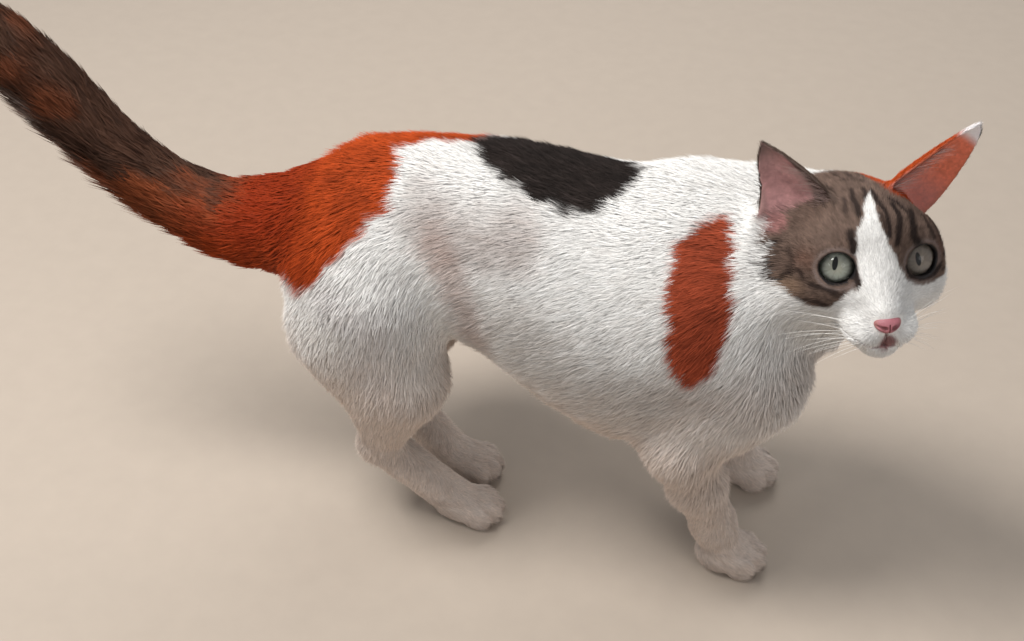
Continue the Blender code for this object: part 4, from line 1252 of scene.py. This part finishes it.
def coat_piece(name, root, normal, way, sizes, curved, unwrap, material):
    """One piece of the coat: its tufts, strewn a little, with their normals, colours and patches."""
    long, wide, lift = sizes
    count = len(root)
    clump = noise(root, 0.009, 21)
    waves = 0.20 * noise(root, 0.014, 22) + 0.16 * noise(root, 0.005, 23)
    way = turn_about(way, normal, waves + 0.11 * RNG.standard_normal(count))
    long = long * (1 + 0.16 * clump) * RNG.uniform(0.72, 1.25, count)
    lift = lift * (1 + 0.25 * clump) * RNG.uniform(0.6, 1.35, count)
    wide = wide * RNG.uniform(0.75, 1.25, count)
    bend = RNG.uniform(-1, 1, count)
    corners = tufts(root, normal, way, long, wide, lift, bend, curved)
    corners[..., 2] = np.maximum(corners[..., 2], TUFT_FLOOR)
    shape = np.array(LOCK_FACES if curved else LANCE_FACES)
    each = corners.shape[1]
    faces = (np.arange(count)[:, None, None] * each + shape[None]).reshape(-1, 3)
    mesh = mesh_of(name, corners.reshape(-1, 3), faces, 3)
    facing = tuft_facings(normal, way, curved)
    seen = root + way * (long * MM * RNG.uniform(0.40, 0.75, count))[:, None]
    colour = coat_colour(seen, *all_distances(seen)) * (1 + 0.08 * RNG.standard_normal(count))[:, None]
    shades = tuft_shades(smooth(0.25, 0.75, colour.mean(axis=1))[:, None], curved)
    add_colour(mesh, np.clip(colour[:, None] * shades[:, :, None], *TUFT_LIMITS).reshape(-1, 3))
    add_patches(mesh, unwrap(root), faces, each)
    mesh.materials.append(material)
    placed(name, mesh, facing)


def add_colour(mesh, paint):
    layer = mesh.color_attributes.new("Coat", "FLOAT_COLOR", "POINT")
    layer.data.foreach_set("color", np.column_stack([paint, np.ones(len(paint))]).astype(np.float32).ravel())


PATCH = 0.003


def add_patches(mesh, place, faces, each):
    """The OFBake map: a patch for each tuft, at its root's place on the unwrapped skin."""
    corner = np.zeros((each, 2))
    corner[:, 0] = np.array([-0.5, 0.5, 0.0] * (each // 3) + [0.0])
    corner[:, 1] = np.array([-0.5] * 3 + ([0.0] * 3 if each > 4 else []) + [0.5])
    corner[2::3, 1] += 0.10
    where = PATCH + place * (1 - 2 * PATCH)
    points = (where[:, None] + corner[None] * PATCH).reshape(-1, 2)
    layer = mesh.uv_layers.new(name="OFBake")
    layer.data.foreach_set("uv", points[faces.ravel()].astype(np.float32).ravel())


# Materials

class Nodes:
    """A short way to write a material's nodes."""

    def __init__(self, name):
        self.material = bpy.data.materials.new(name)
        self.material.use_nodes = True
        self.tree = self.material.node_tree
        self.shader = self.tree.nodes["Principled BSDF"]

    def add(self, kind, inputs=None, **settings):
        node = self.tree.nodes.new(kind)
        for key, value in settings.items():
            setattr(node, key, value)
        for key, value in (inputs or {}).items():
            if isinstance(value, bpy.types.NodeSocket):
                self.tree.links.new(value, node.inputs[key])
            else:
                node.inputs[key].default_value = value
        return node

    def link(self, socket, name):
        self.tree.links.new(socket, self.shader.inputs[name])

    def set(self, **values):
        for key, value in values.items():
            self.shader.inputs[key.replace("_", " ")].default_value = value


def painted(name, rough, specular, variation, scale, bump=None):
    """A material whose colour is the painted one, with fine variation, and bump where it is bare skin."""
    nodes = Nodes(name)
    paint = nodes.add("ShaderNodeAttribute", attribute_name="Coat").outputs["Color"]
    where = nodes.add("ShaderNodeTexCoord").outputs["Object"]
    settings = {"Vector": where, "Scale": scale, "Detail": 3.0, "Roughness": 0.6}
    grain = nodes.add("ShaderNodeTexNoise", settings).outputs["Fac"]

    def over_grain(low, high):
        span = {"Value": grain, "From Min": 0.3, "From Max": 0.7, "To Min": low, "To Max": high}
        return nodes.add("ShaderNodeMapRange", span).outputs["Result"]

    value = over_grain(1 - variation, 1 + variation)
    tone = nodes.add("ShaderNodeHueSaturation", {"Color": paint, "Value": value})
    nodes.link(tone.outputs["Color"], "Base Color")
    nodes.link(over_grain(rough - 0.08, rough + 0.08), "Roughness")
    nodes.set(Specular_IOR_Level=specular)
    if bump:
        size, strength, distance = bump
        fine = nodes.add("ShaderNodeTexNoise", {"Vector": where, "Scale": size, "Detail": 4.0}).outputs["Fac"]
        raised = nodes.add("ShaderNodeBump", {"Height": fine, "Strength": strength, "Distance": distance})
        nodes.link(raised.outputs["Normal"], "Normal")
    return nodes.material


# The skin piece

GRID_LINES = (
    grid_line((-0.430, 0.052, 0.0030), (0.052, 0.078, 0.0016), (0.078, 0.186, 0.0009)),
    grid_line((-0.108, 0.016, 0.0009), (0.016, 0.084, 0.0028)),
    grid_line((-0.003, 0.188, 0.0028), (0.188, 0.216, 0.0014), (0.216, 0.334, 0.0009)),
)
FLESH = ["torso", "neck", "head", "ear_right", "ear_left", "tail_base", "tail_middle", "tail_tip"]
FLESH += [f"{name}_{part}" for name in PAWS for part in ("upper", "lower", "paw")]

SKIN_POINTS, SKIN_QUADS = surface_net(skin, GRID_LINES)
SKIN_POINTS, SKIN_NORMALS = settle(skin, SKIN_POINTS)
FOUND, LOCAL = all_distances(SKIN_POINTS)


SKIN_SHADE = 0.86


def skin_piece():
    colour = coat_colour(SKIN_POINTS, FOUND, LOCAL) * SKIN_SHADE
    colour = mixed(colour, LID_BLACK, rim_share(LOCAL))
    lips = smooth(1.6 * MM, 0.3 * MM, np.abs(mouth_line(LOCAL))) * smooth(26 * MM, 34 * MM, LOCAL[:, 0])
    lips = lips * smooth(15 * MM, 9 * MM, np.abs(LOCAL[:, 1]))
    mesh = mesh_of("skin", SKIN_POINTS, SKIN_QUADS, 4)
    add_colour(mesh, np.clip(mixed(colour, LIP, 0.85 * lips), *COLOUR_LIMITS))
    mesh.materials.append(painted("skin", 0.72, 0.25, 0.08, 900.0, (1400.0, 0.35, 0.0006)))
    piece = placed("skin", mesh)
    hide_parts(*FLESH)


def around(points, middle):
    """Unwrap of a tube along X: place along it, and the turn about its middle line."""
    low, high = points[:, 0].min(), points[:, 0].max()
    turn = np.arctan2(points[:, 1], points[:, 2] - middle) / (2 * math.pi) + 0.5
    return np.stack([(points[:, 0] - low) / (high - low), turn], 1)


def unwrap_trunk(points):
    middle, _, _ = trunk_section(points[:, 0])
    return around(points, middle)


def unwrap_tail(points):
    return around(points, on_tail_line(points, TAIL_LINE[:, 2]))


def unwrap_legs(points):
    """Each pair of legs side by side: the turn about a leg, and the height."""
    near_left = points[:, 1] > 0.005
    middle = np.where(near_left, 0.035, -0.035)
    turn = np.arctan2(points[:, 1] - middle, points[:, 0] - points[:, 0].mean()) / (2 * math.pi) + 0.5
    height = points[:, 2] / points[:, 2].max()
    return np.stack([0.5 * near_left + 0.5 * turn, height], 1)


def unwrap_head(points):
    places = face_map(to_head(points)) / 360 + 0.5
    low, high = places.min(axis=0), places.max(axis=0)
    return (places - low) / (high - low)


def unwrap_ears(points):
    """Four strips, the cup and the back of each ear: place across it, and the share of its height."""
    local = to_head(points)
    side = np.where(local[:, 1] > 0, 1, -1)
    out = np.zeros((len(points), 2))
    for number, sign in enumerate((-1, 1)):
        near = side == sign
        if near.any():
            share, across, half, over = ear_places(local[near], sign)[2:]
            turn = np.clip(across / half, -1.2, 1.2) / 2.4 + 0.5
            out[near, 0] = 0.5 * number + 0.25 * (over > 0) + 0.25 * turn
            out[near, 1] = np.clip(share, -0.4, 1) / 1.4 + 0.285
    return out


HIND_SPLIT = -0.012
FACE_EDGE = 62
TRUNK_SPANS = {"neck": (0.080, 1), "shoulders": (0.052, 0.080), "chest": (-0.015, 0.052),
               "loin": (-0.085, -0.015), "rump": (-1, -0.085)}
TAIL_SPLIT = -0.275


def coat_regions(triangles):
    """The skin's triangles under each piece of the coat, its kind of unwrap and its slot."""
    x, y, z = SKIN_POINTS[triangles].mean(axis=1).T
    weight = weights_of(FOUND, COLOUR_REACH)
    share = {name: value[triangles].mean(axis=1) for name, value in weight.items()}
    ears = share["ear_1"] + share["ear_-1"] > 0.5
    head = (share["skull"] > 0.5) & ~ears
    tail_part = (share["tail"] > 0.4) & (x < -0.150) & ~head
    front = (share["front_right"] + share["front_left"] > 0.5) & (z < 0.135) & ~head
    hind = (share["hind_right"] + share["hind_left"] > 0.5) & (z < 0.160) & ~tail_part
    trunk_part = ~(ears | head | tail_part | front | hind)
    away = np.hypot(*face_map(to_head(np.stack([x, y, z], 1))).T)
    regions = {"coat_face": (head & (away < FACE_EDGE), unwrap_head, "tabby_coat"),
               "coat_head": (head & (away >= FACE_EDGE), unwrap_head, "tabby_coat"),
               "coat_ears": (ears, unwrap_ears, "tabby_coat")}
    for name, (low, high) in TRUNK_SPANS.items():
        slot = "orange_coat" if name == "rump" else "white_coat"
        regions[f"coat_{name}"] = (trunk_part & (x >= low) & (x < high), unwrap_trunk, slot)
    regions["coat_front_legs"] = (front, unwrap_legs, "white_coat")
    regions["coat_hind_right"] = (hind & (y < HIND_SPLIT), unwrap_legs, "white_coat")
    regions["coat_hind_left"] = (hind & (y >= HIND_SPLIT), unwrap_legs, "white_coat")
    regions["coat_tail"] = (tail_part & (x >= TAIL_SPLIT), unwrap_tail, "orange_coat")
    regions["coat_tail_end"] = (tail_part & (x < TAIL_SPLIT), unwrap_tail, "dark_coat")
    return regions


END_LIFT = 62


def coat_pieces():
    """The coat in pieces, each drawn over its own part of the skin."""
    triangles = np.concatenate([SKIN_QUADS[:, [0, 1, 2]], SKIN_QUADS[:, [0, 2, 3]]])
    long, wide, lift, density = tuft_sizes(SKIN_POINTS, FOUND, LOCAL)
    density = density * ~bare_share(SKIN_POINTS, FOUND, LOCAL)
    ending = (SKIN_NORMALS * tail_way(SKIN_POINTS)).sum(axis=1) * smooth(-0.35, -0.39, SKIN_POINTS[:, 0])
    lift = lift + END_LIFT * smooth(0.30, 0.90, ending)
    way = lie(SKIN_POINTS, SKIN_NORMALS, FOUND, LOCAL)
    fur = painted("coat", 0.72, 0.10, 0.07, 700.0)
    table = np.column_stack([SKIN_NORMALS, way, long, wide, lift])
    for name, (mask, unwrap, slot) in coat_regions(triangles).items():
        root, row = roots_on(SKIN_POINTS, triangles[mask], table, density)
        normal = rows_unit(row[:, :3])
        lay = onto_skin(row[:, 3:6], normal)
        curved = name.startswith("coat_tail")
        coat_piece(name, root, normal, lay, row[:, 6:9].T, curved, unwrap, fur)


# Eyes, nose and whiskers

# Angles from the way the eye looks: fine over the iris, then to the side and to the back
BALL_ANGLES = np.concatenate([np.linspace(0, 0.60, 36)[1:], np.linspace(0.60, math.pi / 2, 14)[1:],
                              np.linspace(math.pi / 2, math.pi, 12)[1:-1]])
BALL_TURNS = 96
BALL_RADIUS = EYE_RADIUS - 0.9 * MM
IRIS_DISH = 1.5 * MM
IRIS_LIMIT = 1.2
PUPIL_PLACES = {-1: (1.1, 1.9), 1: (-1.2, 1.0)}
PUPIL_HALF_SIZE = (1.25, 3.3)


def ball_faces(rings, turns):
    """Quads between the rings of a ball, and triangles to its front and back, the last two points."""
    first = np.arange(turns)
    after = (first + 1) % turns
    band = np.stack([first, first + turns, after + turns, after], 1)
    quads = [tuple(quad) for ring in range(rings - 1) for quad in (band + ring * turns).tolist()]
    end, last = rings * turns, (rings - 1) * turns
    front = [(end, a, b) for a, b in zip(first.tolist(), after.tolist())]
    back = [(end + 1, b + last, a + last) for a, b in zip(first.tolist(), after.tolist())]
    return quads + front + back


def smooth_mesh(name, points, faces):
    mesh = bpy.data.meshes.new(name)
    mesh.from_pydata([tuple(point) for point in points], [], faces)
    mesh.polygons.foreach_set("use_smooth", [True] * len(mesh.polygons))
    return mesh


def eyeball(side, word):
    """The ball with a dished iris and the pupil's slit."""
    out, along, up = eye_axes(side)
    angle = np.repeat(BALL_ANGLES, BALL_TURNS)
    turn = np.tile(np.linspace(0, 2 * math.pi, BALL_TURNS, endpoint=False), len(BALL_ANGLES))
    across = np.cos(turn)[:, None] * along + np.sin(turn)[:, None] * up
    direction = np.cos(angle)[:, None] * out + np.sin(angle)[:, None] * across
    dish = IRIS_DISH * smooth(0.72, 0.15, angle)
    ball = eye_centre(side) + direction * BALL_RADIUS - dish[:, None] * out
    poles = eye_centre(side) + np.array([out * (BALL_RADIUS - IRIS_DISH), -out * BALL_RADIUS])
    points = from_head(np.concatenate([ball, poles]))
    mesh = smooth_mesh("eyeball_" + word, points, ball_faces(len(BALL_ANGLES), BALL_TURNS))
    ends = [0, math.pi]
    add_colour(mesh, iris_colour(np.concatenate([angle, ends]), np.concatenate([turn, [0, 0]]), side))
    mesh.materials.append(IRIS_MATERIAL)
    piece = placed("eyeball_" + word, mesh)
    return piece


def cornea(side, word):
    """The clear cover, with the bulge in front."""
    clear = bmesh.new()
    bmesh.ops.create_uvsphere(clear, u_segments=64, v_segments=40, radius=1)
    for vert in clear.verts:
        vert.co = Vector(on_eyeball(side, np.array(vert.co)))
    mesh = bpy.data.meshes.new("cornea_" + word)
    clear.to_mesh(mesh)
    clear.free()
    mesh.polygons.foreach_set("use_smooth", [True] * len(mesh.polygons))
    mesh.materials.append(CORNEA_MATERIAL)
    placed("cornea_" + word, mesh)


def iris_colour(angle, turn, side):
    """Grey-green with fine rays, darker at its edge, about a narrow upright pupil; brown-black beyond it."""
    reach = np.sin(angle) * 10.1
    across, up = reach * np.cos(turn), reach * np.sin(turn)
    rays = noise(np.stack([np.cos(turn) * 9, np.sin(turn) * 9, reach * 0.25], 1), 1.0, 31)
    fine = noise(np.stack([np.cos(turn) * 28, np.sin(turn) * 28, reach * 0.4], 1), 1.0, 32)
    tone = varied(IRIS_GREY, 1 + 0.16 * rays + 0.16 * fine)
    tone = mixed(tone, IRIS_WARM, 0.45 * smooth(4.5, 1.5, np.hypot(across, up)))
    tone = mixed(tone, IRIS_EDGE, 0.75 * smooth(6.6, 8.2, reach))
    tone = mixed(tone, EYE_DARK, smooth(8.0, 8.8, reach) + (angle > IRIS_LIMIT))
    if side > 0:
        tone = tone * np.array(LEFT_EYE_SHADE)
    place, half_size = PUPIL_PLACES[side], PUPIL_HALF_SIZE
    slit = np.hypot((across - place[0]) / half_size[0], (up - place[1]) / half_size[1])
    tone = np.where((angle > math.pi / 2)[:, None], np.array(EYE_DARK), tone)
    return np.clip(mixed(tone, PUPIL, smooth(1.12, 0.92, slit) * (angle < IRIS_LIMIT)), 0.002, 0.9)


def eye_pieces():
    for side, word in ((1, "left"), (-1, "right")):
        ball = eyeball(side, word)
        cornea(side, word)
        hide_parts("eye_" + word)


def wet(name, rough, transmission, ior):
    """A wet surface, clear where it transmits and painted where it doesn't."""
    nodes = Nodes(name)
    nodes.set(Roughness=rough, Transmission_Weight=transmission, IOR=ior)
    if transmission:
        nodes.set(Base_Color=(1, 1, 1, 1))
    else:
        paint = nodes.add("ShaderNodeAttribute", attribute_name="Coat").outputs["Color"]
        nodes.link(paint, "Base Color")
    return nodes.material


def nose_form(local):
    """The pad with its two nostrils and the groove between them."""
    form = nose_pad(local, 0.1 * MM)
    for side in (1, -1):
        place = np.array(NOSE_PLACE) + np.array((4.6, side * 2.2, -1.0)) * MM
        end = np.array(NOSE_PLACE) + np.array((2.0, side * 6.6, 0.4)) * MM
        form = cut_out(form, cone(local, place, 1.25 * MM, end, 0.7 * MM), 0.5 * MM)
    groove = np.maximum(np.abs(local[:, 1]) - 0.28 * MM, local[:, 2] - (NOSE_PLACE[2] + 1.0 * MM))
    return cut_out(form, np.maximum(groove, -(form + 0.8 * MM)), 0.5 * MM)


def nose_piece():
    spans = [grid_line((centre - 9 * MM, centre + 9 * MM, 0.28 * MM)) for centre in NOSE_PLACE]
    local, quads = surface_net(nose_form, spans)
    local, _ = settle(nose_form, local)
    pebble = noise(local, 0.0006, 41) + 0.6 * noise(local, 0.00035, 42)
    ahead, across, height = ((local - np.array(NOSE_PLACE)) / MM).T
    hole = np.hypot(np.abs(across) - 2.6, height + 1.0)
    colour = varied(NOSE_PINK, 1 + 0.07 * pebble)
    colour = mixed(colour, NOSTRIL, 0.8 * smooth(2.0, 0.9, hole) * smooth(1.5, 3.0, ahead))
    colour = mixed(colour, NOSE_SIDE, smooth(4.6, 6.2, np.abs(across)))
    mesh = mesh_of("nose_leather", from_head(local), quads, 4)
    add_colour(mesh, colour)
    mesh.materials.append(painted("nose_leather", 0.42, 0.45, 0.06, 1500.0, (2600.0, 0.6, 0.0004)))
    piece = placed("nose_leather", mesh)
    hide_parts("nose")


DOWN = np.array((0, 0, -1.0))
HAIR_TAPER = 0.85


def strand(root, way, length, girth, sag, steps, sides):
    """The points of one hair: rings that taper, and the tip."""
    way = unit(way)
    side = unit(np.cross(way, (0.1, 0.2, 1.0)))
    up = np.cross(side, way)
    turns = [2 * math.pi * number / sides for number in range(sides)]
    points = []
    for share in np.linspace(0, 1, steps)[:-1]:
        centre = root + way * length * share + DOWN * sag * length * share * share
        girth_here = girth * (1 - HAIR_TAPER * share)
        points += [centre + girth_here * (math.cos(turn) * side + math.sin(turn) * up) for turn in turns]
    return points + [root + way * length + DOWN * (sag * length)]


def strand_faces(start, steps, sides):
    """The sides of one hair, its tip and its root."""
    after = [(number + 1) % sides for number in range(sides)]
    faces = []
    for ring in range(start, start + (steps - 2) * sides, sides):
        faces += [(ring + a, ring + b, ring + b + sides, ring + a + sides) for a, b in enumerate(after)]
    last, tip = start + (steps - 2) * sides, start + (steps - 1) * sides
    faces += [(last + a, last + b, tip) for a, b in enumerate(after)]
    return faces + [tuple(start + number for number in reversed(range(sides)))]


def hairs(name, strands, colour, steps=9, sides=4):
    """Long single hairs as thin tapered tubes that bend down with their own weight."""
    points, faces = [], []
    for row in strands:
        faces += strand_faces(len(points), steps, sides)
        points += strand(*row, steps, sides)
    mesh = smooth_mesh(name, points, faces)
    add_colour(mesh, np.tile(np.array(colour, float), (len(points), 1)))
    mesh.materials.append(HAIR_MATERIAL)
    placed(name, mesh)


def on_skin(local):
    """The nearest point of the skin to a place on the head, and its normal there."""
    point = from_head(np.array(local) * MM)
    nearest = int(np.argmin(((SKIN_POINTS - point) ** 2).sum(axis=1)))
    return SKIN_POINTS[nearest], SKIN_NORMALS[nearest]


WHISKER_GIRTH = 0.00013
EAR_HAIR_GIRTH = 0.00006
EAR_HAIR_COUNT = 230


def whiskers():
    """Four rows of four on each side of the muzzle."""
    strands = []
    for side, row, column in itertools.product((1, -1), range(4), range(4)):
        local = (43 - 3.0 * column, side * (6.5 + 2.4 * column), -25.5 - 2.3 * row - 0.3 * column)
        root, normal = on_skin(local)
        fan = 0.30 - 0.20 * row + RNG.uniform(-0.06, 0.06)
        way = HEAD_AXES.T @ np.array((-0.42 - 0.16 * column + RNG.uniform(-0.08, 0.08), side * 1.0, fan))
        length = (0.030 + 0.006 * column - 0.003 * row) * RNG.uniform(0.85, 1.1)
        sag = RNG.uniform(0.10, 0.28)
        strands.append((root - normal * 0.0004, way + normal * 0.15, length, WHISKER_GIRTH, sag))
    hairs("whiskers", strands, WHISKER_WHITE)


def ear_hairs():
    """Fine pale hairs that cross the cup of each ear from its inner edge."""
    strands = []
    for side in (1, -1):
        root, length, axes = ear_axes(side)
        inward = -1 if axes[2] @ np.array((0, side, 0)) > 0 else 1
        for _ in range(EAR_HAIR_COUNT):
            share = RNG.uniform(-0.05, 0.62)
            half = EAR_HALF_WIDTH * (1 - max(share, 0) ** 1.4) ** EAR_TIP_POWER
            across = inward * half * RNG.uniform(0.62, 0.97)
            depth = EAR_DEPTH * (1 - 0.75 * share)
            out = depth * (across / (half + 0.9 * MM)) ** 2 - depth + 1.0 * MM
            place = root + axes[0] * share * length + axes[1] * out + axes[2] * across
            way = axes[0] * RNG.uniform(0.5, 1.1) + axes[1] * RNG.uniform(0.15, 0.6)
            way = way - axes[2] * inward * RNG.uniform(0.35, 1.0)
            long = RNG.uniform(0.008, 0.019) * (1 - 0.5 * max(share, 0))
            sag = RNG.uniform(-0.15, 0.1)
            strands.append((from_head(place), HEAD_AXES.T @ way, long, EAR_HAIR_GIRTH, sag))
    hairs("ear_hairs", strands, EAR_HAIR, steps=5, sides=3)


IRIS_MATERIAL = wet("iris", 0.35, 0.0, 1.38)
CORNEA_MATERIAL = wet("cornea", 0.02, 1.0, 1.34)
HAIR_MATERIAL = painted("hair", 0.5, 0.3, 0.05, 500.0)

skin_piece()
coat_pieces()
eye_pieces()
nose_piece()
whiskers()
ear_hairs()


# Floor, camera and lights

FLOOR = (0.44, 0.37, 0.305)
FLOOR_REACH = 3


def floor():
    mesh = bpy.data.meshes.new("floor")
    corners = [(x * FLOOR_REACH, y * FLOOR_REACH, 0) for x, y in ((-1, -1), (1, -1), (1, 1), (-1, 1))]
    mesh.from_pydata(corners, [], [(0, 1, 2, 3)])
    obj = bpy.data.objects.new("floor", mesh)
    bpy.context.scene.collection.objects.link(obj)
    nodes = Nodes("floor")
    where = nodes.add("ShaderNodeTexCoord").outputs["Object"]
    grain = nodes.add("ShaderNodeTexNoise", {"Vector": where, "Scale": 60.0, "Detail": 4.0})
    tone = nodes.add("ShaderNodeMapRange", {"Value": grain.outputs["Fac"], "To Min": 0.92, "To Max": 1.0})
    colour = nodes.add("ShaderNodeHueSaturation", {"Color": (*FLOOR, 1), "Value": tone.outputs["Result"]})
    nodes.link(colour.outputs["Color"], "Base Color")
    nodes.set(Roughness=0.8)
    mesh.materials.append(nodes.material)


CAMERA_TURN, CAMERA_RISE = math.radians(14), math.radians(40)
FOCAL = 1400
PHOTO_WIDTH, PHOTO_HEIGHT = 1024, 641
TARGET = (0, -0.016, 0)
TARGET_PIXEL = (600, 520)
CAMERA_DISTANCE = 0.915
SENSOR = 36


def camera():
    a, e = CAMERA_TURN, CAMERA_RISE
    back = np.array((math.sin(a) * math.cos(e), -math.cos(a) * math.cos(e), math.sin(e)))
    right = np.array((math.cos(a), math.sin(a), 0))
    up = np.cross(back, right)
    aside = (TARGET_PIXEL[0] - PHOTO_WIDTH / 2) / FOCAL * CAMERA_DISTANCE
    below = (TARGET_PIXEL[1] - PHOTO_HEIGHT / 2) / FOCAL * CAMERA_DISTANCE
    place = np.array(TARGET) + SHIFT + back * CAMERA_DISTANCE - right * aside + up * below
    data = bpy.data.cameras.new("camera")
    data.sensor_width = SENSOR
    data.lens = FOCAL / PHOTO_WIDTH * SENSOR
    data.clip_start = 0.01
    obj = bpy.data.objects.new("camera", data)
    rows = np.stack([right, up, back], 1)
    obj.matrix_world = Matrix.Translation(place) @ Matrix(rows.tolist()).to_4x4()
    bpy.context.scene.collection.objects.link(obj)
    bpy.context.scene.camera = obj


BODY_MIDDLE = (0, 0, 0.12)
HEAD_SIDE = (0.25, -0.05, 0.25)
# Each light's place, what it points at, its size, power and colour
LIGHTS = {
    "key": ((-0.6, -0.25, 1.6), BODY_MIDDLE, 0.7, 31, (1.0, 0.985, 0.96)),
    "back": ((0.2, 1.2, 1.3), BODY_MIDDLE, 0.9, 8, (1.0, 0.99, 0.97)),
    "catch": ((-0.95, -1.15, 0.80), HEAD_SIDE, 0.5, 2.6, (1.0, 0.99, 0.98)),
    "fill": ((1.2, -0.9, 0.8), HEAD_SIDE, 0.8, 4.0, (1.0, 0.98, 0.96)),
}
SKY = (0.92, 0.95, 1.0, 1)
SKY_STRENGTH = 0.36


def lights():
    for name, (place, target, size, power, colour) in LIGHTS.items():
        data = bpy.data.lights.new(name, "AREA")
        data.shape = "DISK"
        data.size = size
        data.energy = power
        data.color = colour
        obj = bpy.data.objects.new(name, data)
        obj.location = place
        obj.rotation_euler = (Vector(place) - Vector(target)).to_track_quat("Z", "Y").to_euler()
        bpy.context.scene.collection.objects.link(obj)
    world = bpy.data.worlds.new("world")
    bpy.context.scene.world = world
    world.use_nodes = True
    sky = world.node_tree.nodes["Background"].inputs
    sky["Color"].default_value = SKY
    sky["Strength"].default_value = SKY_STRENGTH
    bpy.context.scene.view_settings.view_transform = "Standard"


floor()
camera()
lights()
